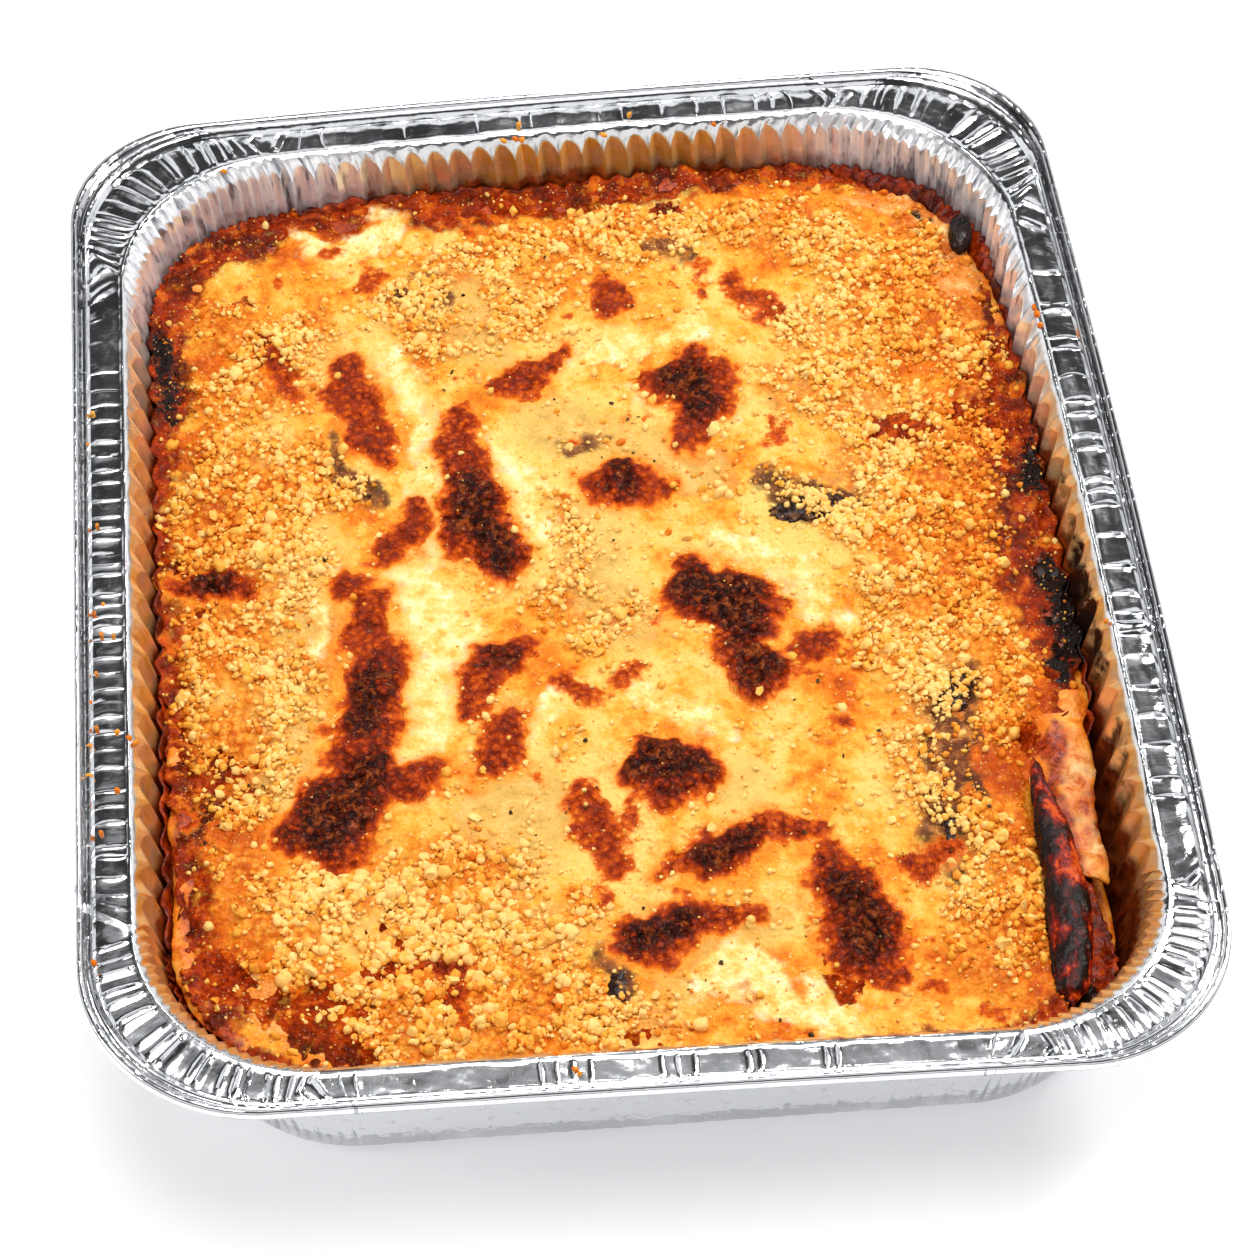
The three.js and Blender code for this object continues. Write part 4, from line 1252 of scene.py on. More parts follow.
def cheese_surface(blister_height):
    """The cheese's top as a square grid of places and heights, with its masks."""
    out_share, run = square_grid(CHEESE_GRID)
    t = run_to_stop(run)
    reach = reach_of(cheese_inset(t), t)
    out = out_share * reach
    push = (flute_push(t, FLUTE_DEPTH) - 0.25) * smoothstep(out, 0.93, 0.985)
    xy = wall_points(t, EDGE_Z, push) * out[..., None]
    from_edge = (1 - out_share) * reach * wall_distance(t)
    from_wall = (1 - out) * wall_distance(t)
    z = cheese_height(xy[..., 0], xy[..., 1], out, from_edge)
    x = xy[..., 0] - RIM_CENTRE[0]
    y = xy[..., 1] - RIM_CENTRE[1]
    masks = food_masks(x, y)
    ragged = from_wall + 1.6 * rough_noise(x, y, 9, 78, 3, 0.6)
    rim = table_value(t, SAUCE_RIM)
    masks["sauce"] = (1 - smoothstep(ragged, rim - 3.5, rim + 2.5)) * (1 - 0.85 * masks["cream"])
    masks["toast"] = toast_field(x, y)
    relief = baked_relief(x, y, masks, blister_height)
    masks["high"] = smoothstep(relief, -0.8, 1.6)
    climb = (1 - smoothstep(from_wall, 0, 4)) * (0.7 + 1.5 * rough_noise(x, y, 16, 103, 3))
    z = z + relief * smoothstep(from_edge, -2.5, 2) + climb
    underside = np.minimum(sheet_height(xy[..., 0], xy[..., 1], out) - 0.3, z - 0.4)
    return x, y, z, underside, masks


def build_cheese(settings):
    x, y, z, underside, masks = cheese_surface(settings.blister_height / MM)
    piece = grid_body("cheese_layer_baked", x, y, z, underside, masks)
    return finish_piece(piece, cheese_material(settings), "baked_cheese", "cheese_layer")


CHEESE_MASKS = (
    "brown", "halo", "cream", "veil", "crumb", "red", "char", "toast", "sauce", "high", "fold", "dusk",
)
CHEESE_GRAINS = {  # noise patterns: size, detail and roughness
    "broad": (15, 5, 0.62), "mottle": (5, 6, 0.68), "speck": (1.5, 4, 0.65), "fleck": (2.6, 4, 0.6),
}


def cheese_material(settings):
    look = Finish("Baked cheese", Specular_IOR_Level=0.1)
    mask = {name: look.attribute(name) for name in CHEESE_MASKS}
    grain = {name: look.noise(*pattern) for name, pattern in CHEESE_GRAINS.items()}
    beads = look.cells(2.1)
    colour = golden_cheese(look, mask, grain, settings)
    colour = wet_and_cream(look, mask, grain, settings, colour)
    colour = brown_blisters(look, mask, grain, beads, settings, colour)
    black = look.shifted(look.shifted(mask["char"], grain["speck"], 0.3), grain["mottle"], 0.3)
    colour = look.blend(look.span(black, 0.45, 0.8), colour, paint(24, 12, 8))
    # Pale dots painted in as glints, standing in for small highlights.
    colour = look.blend(painted_glints(look, mask, grain), colour, paint(255, 226, 168))
    relief = look.bump(look.noise(0.6, 3, 0.65), 0.3, 0.7)
    relief = look.bump(look.cells(1.2), 0.6, 0.8, relief)
    beaded = look.times(beads, look.span(mask["brown"], 0.2, 0.5, 0.0, -1.0))
    look.set(Base_Color=colour, Roughness=look.span(grain["speck"], 0.3, 0.7, 0.1, 0.3))
    look.set(Normal=look.bump(beaded, 1.4, 0.9, relief))
    return look.material


def golden_cheese(look, mask, grain, settings):
    """The cheese from pale to orange, the bed of crumbs with painted shade in the gaps between its grains, the
    thin veil and the bare folds of pasta.
    """
    mottle = grain["mottle"]
    toast = look.shifted(look.shifted(mask["toast"], grain["broad"], 0.28), mottle, 0.3)
    toast = look.add(toast, look.span(mask["high"], 0.2, 0.8, -0.1, 0.1), clamp=True)
    colour = look.ramp(
        toast, (0.0, paint(243, 200, 106)), (0.26, tuple(settings.cheese)), (0.48, paint(236, 142, 34)),
        (0.72, paint(216, 100, 16)), (1.0, paint(166, 54, 8)),
    )
    # A bed of crumbs painted in: pale grains, and darker gaps between them that are partly the cheese's own
    # orange and partly painted shade.
    bed = look.ramp(
        look.cells(1.9), (0.1, paint(244, 184, 82)), (0.4, paint(234, 140, 38)), (0.75, paint(200, 90, 16)),
    )
    colour = look.blend(look.times(mask["crumb"], look.span(mottle, 0.3, 0.7, 0.5, 0.95)), colour, bed)
    thin = look.ramp(
        mottle, (0.33, paint(190, 148, 70)), (0.5, paint(224, 178, 92)), (0.68, paint(244, 207, 126)),
    )
    thinness = look.times(mask["veil"], look.span(grain["broad"], 0.3, 0.6, 0.45, 0.95))
    colour = look.blend(thinness, colour, thin)
    bare = look.ramp(
        mottle, (0.32, paint(176, 66, 14)), (0.46, paint(226, 130, 46)), (0.66, paint(248, 200, 124)),
    )
    fold = look.span(look.shifted(mask["fold"], mottle, 0.3), 0.3, 0.8, 0, 0.85)
    return look.blend(fold, colour, bare)


def wet_and_cream(look, mask, grain, settings, colour):
    """The red sauce round the edge, the pale melted cheese and what shows dark through it."""
    mottle = grain["mottle"]
    reds = look.ramp(
        mottle, (0.3, paint(58, 10, 2)), (0.43, paint(122, 30, 3)), (0.55, paint(172, 54, 4)),
        (0.68, paint(220, 106, 14)),
    )
    reds = look.blend(look.span(grain["broad"], 0.48, 0.64, 0, 0.8), reds, paint(48, 12, 3))
    redness = look.shifted(look.math("MAXIMUM", mask["red"], mask["sauce"]), mottle, 0.34)
    colour = look.blend(look.span(redness, 0.35, 0.8), colour, reds)
    pale = look.ramp(
        mottle, (0.33, paint(238, 160, 52)), (0.44, tuple(settings.cream)), (0.54, paint(251, 222, 146)),
        (0.66, paint(254, 241, 196)),
    )
    colour = look.blend(look.span(look.shifted(mask["cream"], mottle, 0.3), 0.3, 0.85), colour, pale)
    dull = look.ramp(
        mottle, (0.34, paint(44, 20, 14)), (0.52, paint(106, 54, 32)), (0.7, paint(204, 136, 72)),
    )
    dusk = look.shifted(look.shifted(mask["dusk"], grain["speck"], 0.15), mottle, 0.3)
    return look.blend(look.span(dusk, 0.25, 0.75, 0, 0.95), colour, dull)


def brown_blisters(look, mask, grain, beads, settings, colour):
    """The brown blisters with an orange halo round them, and beads inside that are lighter on their tops and
    darker in the valleys between them, the valleys partly burnt and partly painted shade.
    """
    speck, mottle, fleck = grain["speck"], grain["mottle"], grain["fleck"]
    halos = look.ramp(speck, (0.3, paint(226, 106, 18)), (0.7, paint(244, 162, 50)))
    halo = look.span(look.shifted(mask["halo"], mottle, 0.3), 0.25, 0.95, 0, 0.85)
    colour = look.blend(halo, colour, halos)
    scorch = look.shifted(look.shifted(mask["brown"], speck, 0.06), mottle, 0.12)
    scorch = look.shifted(scorch, fleck, 0.1)
    # Beads lighter on their tops and darker in the valleys between them: partly burnt, partly painted shade.
    beaded = look.times(mask["brown"], look.span(beads, 0.1, 0.62, -0.28, 0.15))
    scorch = look.add(scorch, beaded, clamp=True)
    burnt = look.ramp(
        scorch, (0.1, paint(246, 160, 46)), (0.24, paint(230, 112, 18)), (0.4, paint(200, 78, 12)),
        (0.56, paint(154, 47, 9)), (0.75, paint(94, 25, 9)), (1.0, tuple(settings.blister)),
    )
    spots = look.ramp(fleck, (0.36, paint(24, 8, 4)), (0.5, paint(70, 20, 6)), (0.64, paint(176, 80, 24)))
    burnt = look.blend(look.span(scorch, 0.7, 0.98, 0, 0.7), burnt, spots)
    return look.blend(look.span(scorch, 0.06, 0.34), colour, burnt)


def painted_glints(look, mask, grain):
    """Painted glints: small pale dots that stand in for highlights on the oily cheese, fewer of them on the
    brown.
    """
    dots = look.add(look.cells(1.3), look.span(grain["fleck"], 0.3, 0.7, 0.14, -0.08))
    on_brown = look.span(mask["brown"], 0.2, 0.5, 1.0, 0.35)
    return look.times(look.span(dots, 0.13, 0.2, 0.34, 0.0), on_brown)


RING_STOPS = np.linspace(0, LAP, 900, endpoint=False)
SAUCE_ROWS = np.concatenate([[0.78, 0.83], np.linspace(0.9, 0.999, 20)])


def sauce_top(x, y, out, t):
    """The sauce ring between the pasta and the wall: glossy lumps that climb the wall here and there."""
    base = filling_height(x, y, out) + smoothstep(out, 0.95, 1) * 1.6
    free = smoothstep(out - reach_of(top_sheet_inset(t), t), -0.012, 0.01)
    lumps = 0.9 * rough_noise(x, y, 8, 101, 4, 0.6) + 1.3 * (0.45 - cells(x, y, 5.5, 102))
    climb = smoothstep(out, 0.965, 1) * (1.6 + 2.4 * rough_noise(x, y, 18, 103, 3))
    return base + free * (1.8 + lumps + climb)


def sauce_rings():
    """The sauce ring as rings of points, from its middle outwards and down to its foot."""
    t = RING_STOPS
    gap = reach_of(upper_filling_inset(t), t)
    push = flute_push(t, FLUTE_DEPTH) - 0.2
    rings = []
    for share in SAUCE_ROWS:
        out = share * gap
        near_wall = smoothstep(out, 0.93, 0.985)
        xy = wall_points(t, UPPER_FILLING_TOP + 3, push * near_wall) * out[..., None]
        rings.append(np.column_stack([xy, sauce_top(xy[:, 0], xy[:, 1], out, t)]))
    foot = wall_points(t, UPPER_FILLING_FOOT, push) * (0.995 * gap)[..., None]
    rings.append(np.column_stack([foot, np.full(len(t), UPPER_FILLING_FOOT + 3.0)]))
    rings.append(np.column_stack([foot * 0.99, np.full(len(t), UPPER_FILLING_FOOT)]))
    return np.array(rings)


def places_of(rings):
    """The x and y of rings of points in the shared frame."""
    return rings[..., 0] - RIM_CENTRE[0], rings[..., 1] - RIM_CENTRE[1]


def build_filling(settings):
    rings = sauce_rings()
    start = (0, 0, UPPER_FILLING_TOP - 1)
    marks = {"char": char_field(*places_of(rings))}
    piece = closed_rings("tomato_filling_ring", rings, start, (0, 0, UPPER_FILLING_FOOT), marks)
    return finish_piece(piece, sauce_material(settings), "tomato_filling", "filling_upper")


def sauce_material(settings):
    look = Finish("Baked tomato sauce", Specular_IOR_Level=0.2)
    cloud = look.noise(13, 4, 0.6)
    mottle = look.noise(3.4, 5, 0.68)
    colour = look.ramp(
        mottle, (0.3, paint(56, 10, 1)), (0.45, paint(112, 26, 1)), (0.58, tuple(settings.sauce)),
        (0.72, paint(220, 106, 14)),
    )
    colour = look.blend(look.span(cloud, 0.48, 0.66, 0, 0.8), colour, paint(42, 11, 3))
    charred = look.shifted(look.attribute("char"), mottle, 0.3, clamp=False)
    colour = look.blend(look.span(charred, 0.3, 0.6), colour, paint(20, 11, 8))
    fine = look.bump(look.noise(0.9, 3, 0.6), 0.3, 0.6)
    look.set(Base_Color=colour, Roughness=look.span(mottle, 0.3, 0.7, 0.12, 0.4))
    look.set(Normal=look.bump(look.noise(3, 3, 0.6), 0.9, 0.8, fine))
    return look.material


SHEET_ROWS = np.concatenate([[0.72, 0.80], np.linspace(0.88, 1.0, 15)])


def sheet_rings():
    """The ruffled sheet as rings of points: its top from the middle outwards and its underside back."""
    t = RING_STOPS
    reach = reach_of(top_sheet_inset(t), t)
    cheese_reach = reach_of(cheese_inset(t), t)
    top, under = [], []
    for share in SHEET_ROWS:
        out = share * reach
        xy = wall_points(t, UPPER_FILLING_TOP) * out[..., None]
        x, y = xy[:, 0], xy[:, 1]
        shown = smoothstep(out, cheese_reach - 0.04, cheese_reach + 0.01)
        ruffles = shown * (1.5 * rough_noise(x, y, 13, 112, 3) + 1.0 * rough_noise(x, y, 5, 113, 3))
        z = sheet_height(x, y, out) + ruffles
        thin = 1.3 * smoothstep(share, 0.97, 1.0)
        top.append(np.column_stack([xy, z - 0.5 * thin]))
        under.append(np.column_stack([xy, z - SHEET_THICKNESS + 0.5 * thin]))
    return np.array(top + under[::-1])


def build_top_sheet(settings):
    rings = sheet_rings()
    x, y = places_of(rings)
    marks = {
        "red": stroke_field(x, y, RED_STROKES, 8, 3, 10),
        "char": char_field(x, y),
        "fold": stroke_field(x, y, FOLD_STROKES, 6, 3, 13),
    }
    start = (0, 0, UPPER_FILLING_TOP + 2.3)
    end = (0, 0, UPPER_FILLING_TOP + 0.3)
    piece = closed_rings("pasta_sheet_ruffled", rings, start, end, marks)
    return finish_piece(piece, pasta_material(settings), "pasta", "pasta_sheet_top")


LOWER_SHEET_TOP = 26.3
LOWER_SHEET_FOOT = 24.3
LOWER_FILLING_TOP = 24
LOWER_FILLING_FOOT = 1.5
# Rings of a lower layer: share of the way out, and drop below its top or rise above its foot, as shares
# of its thickness.
LAYER_TOP_ROWS = ((0.8, 0), (0.88, 0), (0.93, 0), (0.965, 0), (0.99, 0.03), (1, 0.15))
LAYER_FOOT_ROWS = ((1, 0.2), (0.97, 0))


def plain_layer(name, top, foot, inset, ripple, material, slot, node):
    """A layer that shows only through the gap: a rippled slab with a rounded edge."""
    t = RING_STOPS[::2]
    reach = reach_of(inset + ragged_edge(t, 0.8, 9, 131), t)[:, None]
    rings = []
    for share, drop in LAYER_TOP_ROWS:
        xy = wall_points(t, foot) * share * reach
        z = top + ripple * rough_noise(xy[:, 0], xy[:, 1], 14, 132, 3) * smoothstep(share, 0.8, 0.93)
        rings.append(np.column_stack([xy, z - drop * (top - foot)]))
    for share, rise in LAYER_FOOT_ROWS:
        z = np.full(len(t), foot + rise * (top - foot))
        rings.append(np.column_stack([wall_points(t, foot) * share * reach, z]))
    piece = closed_rings(name, np.array(rings), (0, 0, top), (0, 0, foot), {})
    return finish_piece(piece, material, slot, node)


def build_lower_layers(settings):
    plain_layer(
        "pasta_sheet_below", LOWER_SHEET_TOP, LOWER_SHEET_FOOT, 2.2, 0.25, pasta_material(settings), "pasta",
        "pasta_sheet_lower",
    )
    plain_layer(
        "tomato_filling_below", LOWER_FILLING_TOP, LOWER_FILLING_FOOT, 2.4, 0, sauce_material(settings),
        "tomato_filling", "filling_lower",
    )


def pasta_material(settings):
    look = Finish("Toasted pasta sheet", Specular_IOR_Level=0.35)
    mottle = look.noise(5, 5, 0.65)
    fine = look.noise(1.4, 3, 0.6)
    colour = look.ramp(
        mottle, (0.3, paint(196, 76, 8)), (0.5, tuple(settings.sheet)), (0.7, paint(248, 186, 84)),
    )
    pale = look.ramp(
        mottle, (0.32, paint(160, 52, 12)), (0.42, paint(216, 110, 36)), (0.54, paint(236, 162, 84)),
        (0.68, paint(252, 214, 150)),
    )
    colour = look.blend(look.span(look.attribute("fold"), 0.2, 0.7), colour, pale)
    red = look.span(look.shifted(look.attribute("red"), mottle, 0.35, clamp=False), 0.3, 0.75)
    colour = look.blend(red, colour, look.ramp(fine, (0.3, paint(96, 20, 4)), (0.7, paint(196, 72, 10))))
    char = look.shifted(look.attribute("char"), fine, 0.3, clamp=False)
    char = look.span(look.shifted(char, mottle, 0.3, clamp=False), 0.45, 0.8)
    colour = look.blend(char, colour, paint(24, 12, 8))
    look.set(Base_Color=colour, Roughness=look.span(mottle, 0.3, 0.7, 0.22, 0.42))
    look.set(Normal=look.bump(look.noise(3, 4, 0.6), 1.0, 0.7, look.bump(fine, 0.35, 0.7)))
    return look.material


# ---- Toppings ----


class ToppingSettings(bpy.types.PropertyGroup):
    pepper: colour_setting("Pepper", "Colour of the roasted pepper", paint(90, 16, 6))
    char: colour_setting("Char", "Colour of what is burnt black", paint(20, 10, 7))
    aubergine: colour_setting("Aubergine", "Colour of the dark skin", paint(46, 24, 16))


def ball(detail):
    """Points and triangles of a round ball of radius 1."""
    mesh = bmesh.new()
    bmesh.ops.create_icosphere(mesh, subdivisions=detail, radius=1)
    points = np.array([vertex.co for vertex in mesh.verts])
    faces = np.array([[vertex.index for vertex in face.verts] for face in mesh.faces])
    mesh.free()
    return points, faces


def space_noise(points, size, seed):
    """Smooth noise at points in space, one value each."""
    shift = Vector((seed * 7.3, seed * 3.1, seed * 11.9))
    return np.array([noise.fractal(Vector(point) / size + shift, 0.9, 2.0, 4) for point in points])


# Dark pieces of vegetable: frame node, size and depth of their wrinkles in millimetres, and slot.
LUMPS = {
    "aubergine_piece_1": (5, 1.3, "aubergine"),
    "aubergine_piece_2": (4, 1.2, "aubergine"),
    "aubergine_piece_3": (5, 1.2, "aubergine"),
    "aubergine_piece_4": (3.5, 1.0, "aubergine"),
    "burnt_olive": (3.2, 0.8, "burnt_olive"),
}
LUMP_SHIFT = (0, 0, 0.6)  # they stand a little out of the cheese
OLIVE_SHIFT = (0.4, -0.9, 1.5)


def node_axes(name):
    """A frame node's middle, its long direction in plan and its full length, width and height."""
    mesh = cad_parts[name].data
    points = np.array([vertex.co for vertex in mesh.vertices]) / MM
    middle = (points.max(0) + points.min(0)) / 2
    flat = points[:, :2] - middle[:2]
    _, _, axes = np.linalg.svd(flat, full_matrices=False)
    size = (np.ptp(flat @ axes[0]), np.ptp(flat @ axes[1]), np.ptp(points[:, 2]))
    return middle, axes[0], size


def lump_tops(x, y):
    """Height of the dark pieces' tops at places in the shared frame, and 0 beside them."""
    top = np.zeros(len(x))
    for name in LUMPS:
        middle, along, size = node_axes(name)
        u = ((x - middle[0]) * along[0] + (y - middle[1]) * along[1]) / (size[0] / 2)
        v = ((y - middle[1]) * along[0] - (x - middle[0]) * along[1]) / (size[1] / 2)
        inside = 1 - u * u - v * v
        height = middle[2] + LUMP_SHIFT[2] + 0.46 * size[2] * np.sqrt(np.clip(inside, 0, 1))
        top = np.where(inside > 0, np.maximum(top, height), top)
    return top


def build_lump(name, wrinkle, depth, slot, material):
    middle, along, size = node_axes(name)
    points, faces = ball(5)
    seed = len(name) + sum(map(ord, name)) % 17
    radii = np.array(size) / 2
    shaped = points * radii
    swell = space_noise(shaped, wrinkle * 2.2, seed)
    crease = np.abs(space_noise(shaped, wrinkle, seed + 5))
    shaped = shaped * (0.98 + 0.45 * (swell - crease) * depth / radii.min())[:, None]
    u, v, z = shaped.T
    places = np.column_stack([u * along[0] - v * along[1], u * along[1] + v * along[0], z])
    shift = OLIVE_SHIFT if name == "burnt_olive" else LUMP_SHIFT
    piece = even_faces(name + "_wrinkled", places + middle + shift, faces)
    return finish_piece(piece, material, slot, name)


def build_toppings(settings):
    skin = dark_skin_material(settings)
    olive = olive_material()
    for name, (wrinkle, depth, slot) in LUMPS.items():
        build_lump(name, wrinkle, depth, slot, olive if slot == "burnt_olive" else skin)
    build_pepper(settings)


STRIP_STEPS = 190
STRIP_SIDES = 56
STRIP_LENGTH = 74
# The strip's middle line: x, y, half its breadth and the height of its middle.
STRIP_PATH = (
    (96.6, -63.5, 0.5, 42.2), (96.8, -67, 1.3, 42.4), (97.1, -74, 2.3, 42.4), (97.9, -83, 3.9, 42.2),
    (98.4, -92, 4.5, 42.0), (98.8, -101, 5.1, 41.6), (98.4, -112, 5.5, 41.0), (97.4, -122, 5.2, 40.2),
    (96.2, -130, 4.0, 39.4), (95.6, -134.5, 1.4, 38.8),
)


def strip_line(share):
    """The strip's middle line at shares of its length, with smoothed breadths that close at the ends."""
    path = np.array(STRIP_PATH)
    x, y, half, z = (np.interp(share, np.linspace(0, 1, len(path)), column) for column in path.T)
    half = np.convolve(np.pad(half, 6, mode="edge"), np.ones(13) / 13, mode="valid")
    half = half * np.clip(np.minimum(9 * share, 9 * (1 - share)) + 0.06, 0, 1)
    return x[:, None], y[:, None], half[:, None], z[:, None]


def build_pepper(settings):
    """The charred strip of pepper: a thin tip at the back, and broad, wrinkled and thick at the front."""
    share = np.linspace(0, 1, STRIP_STEPS)
    x, y, half, z = strip_line(share)
    angle = -np.linspace(0, TURN, STRIP_SIDES, endpoint=False)
    along = (share * STRIP_LENGTH)[:, None]
    u, v = 1.15 * half * np.cos(angle), 1.15 * half * np.sin(angle)
    creases = np.abs(rough_noise(u + 0.3 * v, 0.45 * along + v, 3.2, 141, 3))
    swell = rough_noise(u - v, along + 0 * u, 9, 145, 3)
    wrinkled = np.minimum(1, 2.2 / np.maximum(half, 0.4))
    grow = 1 + (0.5 * swell - 0.75 * creases + 0.18) * wrinkled * 0.45
    places = np.stack([
        x + RIM_CENTRE[0] + half * grow * np.cos(angle),
        y + RIM_CENTRE[1] + 0 * u,
        z + (0.62 * half + 0.4) * grow * np.sin(angle),
    ], axis=-1)
    paler = 0.34 * np.cos(angle) * smoothstep(share, 0.1, 0.5)[:, None]
    marks = {"ridge": 0.7 - paler + 0.5 * swell - 0.5 * creases}
    start = places[0].mean(0) + [0, 0.3, 0]
    end = places[-1].mean(0) - [0, 0.3, 0]
    piece = closed_rings("charred_pepper_ridge", places, start, end, marks)
    return finish_piece(piece, pepper_material(settings), "charred_pepper", "charred_pepper_strip")


def pepper_material(settings):
    look = Finish("Charred pepper", Specular_IOR_Level=0.18)
    mottle = look.noise(4.5, 5, 0.65)
    fine = look.noise(1.6, 4, 0.6)
    scorch = look.shifted(look.attribute("ridge"), mottle, 0.4, clamp=False)
    scorch = look.shifted(scorch, fine, 0.2, clamp=False)
    colour = look.ramp(
        scorch, (0.04, paint(204, 78, 20)), (0.2, paint(150, 30, 9)), (0.4, tuple(settings.pepper)),
        (0.64, paint(46, 12, 7)), (0.84, tuple(settings.char)),
    )
    look.set(Base_Color=colour, Roughness=look.span(mottle, 0.3, 0.7, 0.1, 0.34))
    look.set(Normal=look.bump(look.noise(2.6, 3, 0.6), 0.9, 0.7, look.bump(fine, 0.5, 0.7)))
    return look.material


def olive_material():
    look = Finish("Burnt olive skin", Specular_IOR_Level=0.25)
    mottle = look.noise(3, 4, 0.6)
    look.set(Base_Color=look.ramp(mottle, (0.4, paint(10, 9, 10)), (0.7, paint(44, 26, 20))))
    look.set(Roughness=look.span(mottle, 0.3, 0.7, 0.06, 0.14))
    look.set(Normal=look.bump(look.noise(2.2, 3, 0.6), 0.6, 0.7))
    return look.material


def dark_skin_material(settings):
    look = Finish("Dark roasted skin", Specular_IOR_Level=0.2)
    mottle = look.noise(2.4, 5, 0.6)
    colour = look.ramp(
        mottle, (0.33, tuple(settings.char)), (0.52, tuple(settings.aubergine)), (0.7, paint(136, 88, 48)),
    )
    look.set(Base_Color=colour, Roughness=look.span(mottle, 0.3, 0.7, 0.06, 0.2))
    look.set(Normal=look.bump(look.noise(1.6, 3, 0.6), 0.5, 0.6))
    return look.material


# ---- Crumbs ----


class CrumbSettings(bpy.types.PropertyGroup):
    flakes: count_setting("Flakes", "Number of the largest crumbs", 650, 2400)
    coarse: count_setting("Coarse crumbs", "Number of coarse crumbs", 5600, 9900)
    medium: count_setting("Medium crumbs", "Number of medium crumbs", 9600, 9900)
    fine: count_setting("Fine crumbs", "Number of fine crumbs", 11000, 24000)
    pale: colour_setting("Pale crumb", "Colour of the palest crumbs", paint(250, 209, 124))
    golden: colour_setting("Golden crumb", "Colour of most crumbs", paint(245, 176, 62))
    toasted: colour_setting("Toasted crumb", "Colour of the darkest crumbs", paint(222, 114, 18))


def cell_areas(x, y):
    """Area in plan of each cell of a grid."""
    across_x, across_y = x[1:, :-1] - x[:-1, :-1], y[1:, :-1] - y[:-1, :-1]
    up_x, up_y = x[:-1, 1:] - x[:-1, :-1], y[:-1, 1:] - y[:-1, :-1]
    return np.abs(across_x * up_y - across_y * up_x)


def scatter(random, x, y, z, weight, count):
    """Random places on a grid surface, as many as count, more of them where weight is high. Returns the
    places and the grid cells that they are in."""
    share = (weight[:-1, :-1].clip(0) * cell_areas(x, y)).ravel()
    picks = random.choice(share.size, size=count, p=share / share.sum())
    i, j = np.divmod(picks, x.shape[1] - 1)
    u, v = random.random((2, count))
    places = []
    for field in (x, y, z):
        near = mix(field[i, j], field[i + 1, j], u)
        far = mix(field[i, j + 1], field[i + 1, j + 1], u)
        places.append(mix(near, far, v))
    return np.column_stack(places), (i, j)


def random_turns(random, count):
    """Rotation matrices with no preferred direction."""
    a, b, c, d = random.normal(size=(4, count))
    length = np.sqrt(a * a + b * b + c * c + d * d)
    a, b, c, d = a / length, b / length, c / length, d / length
    rows = [
        [1 - 2 * (c * c + d * d), 2 * (b * c - a * d), 2 * (b * d + a * c)],
        [2 * (b * c + a * d), 1 - 2 * (b * b + d * d), 2 * (c * d - a * b)],
        [2 * (b * d - a * c), 2 * (c * d + a * b), 1 - 2 * (b * b + c * c)],
    ]
    return np.array(rows).transpose(2, 0, 1)


def octahedron():
    """Points and triangles of the smallest crumbs."""
    points = np.array([(1, 0, 0), (0, 1, 0), (-1, 0, 0), (0, -1, 0), (0, 0, 1), (0, 0, -1)], float)
    upper = [(k, (k + 1) % 4, 4) for k in range(4)]
    lower = [((k + 1) % 4, k, 5) for k in range(4)]
    return points, np.array(upper + lower)


CRUMB_EDGE = 62  # degrees between faces from which an edge of a crumb is sharp


def crumb_object(name, random, places, radii, tone, detail, roundness=0.18, flat=0.7):
    """One mesh of crumbs: each is a ball made uneven, stretched and turned its own way."""
    points, faces = ball(detail) if detail else octahedron()
    count = len(places)
    uneven = 1 + roundness * random.normal(size=(count, len(points), 1)).clip(-2, 2)
    stretch = random.uniform(flat, 1.2, size=(count, 1, 3))
    shaped = points[None] * uneven * stretch * radii[:, None, None]
    turned = np.einsum("nij,nkj->nki", random_turns(random, count), shaped)
    vertices = (turned + places[:, None, :]).reshape(-1, 3)
    all_faces = (faces[None] + np.arange(count)[:, None, None] * len(points)).reshape(-1, 3)
    return even_faces(name, vertices, all_faces, {"tone": np.repeat(tone, len(points))}, CRUMB_EDGE)


def clumps(x, y):
    """Where crumbs lie in heaps, and where there are gaps between them."""
    return smoothstep(rough_noise(x, y, 13, 151, 4, 0.6), -0.8, 0.6)


def crumb_weights(x, y, masks):
    """How densely each kind of crumb lies on the baked surface."""
    heaps = clumps(x, y)
    spread = 0.05 * (1 - masks["cream"]) * heaps + masks["crumb"] ** 1.3 * heaps
    weight = spread * (1 - 0.75 * masks["sauce"]) * (1 - smoothstep(masks["brown"], 0.2, 0.6))
    at_front = {"front": CRUMB_STROKES["front"], "left": CRUMB_STROKES["front left"]}
    return {
        "crumb_flakes": weight * (0.25 + stroke_field(x, y, at_front, 8)),
        "crumbs_coarse": weight,
        "crumbs_medium": weight,
        "crumbs_fine": weight + 0.05 * (1 - 0.85 * smoothstep(masks["brown"], 0.2, 0.5)),
    }


CRUMB_KINDS = {  # setting, radius from and to in millimetres, detail of each crumb, share that it stands up
    "crumb_flakes": ("flakes", 1.25, 1.9, 2, 0.15),
    "crumbs_coarse": ("coarse", 0.8, 1.4, 1, 0.2),
    "crumbs_medium": ("medium", 0.5, 0.95, 1, 0.25),
    "crumbs_fine": ("fine", 0.28, 0.55, 0, 0.3),
}


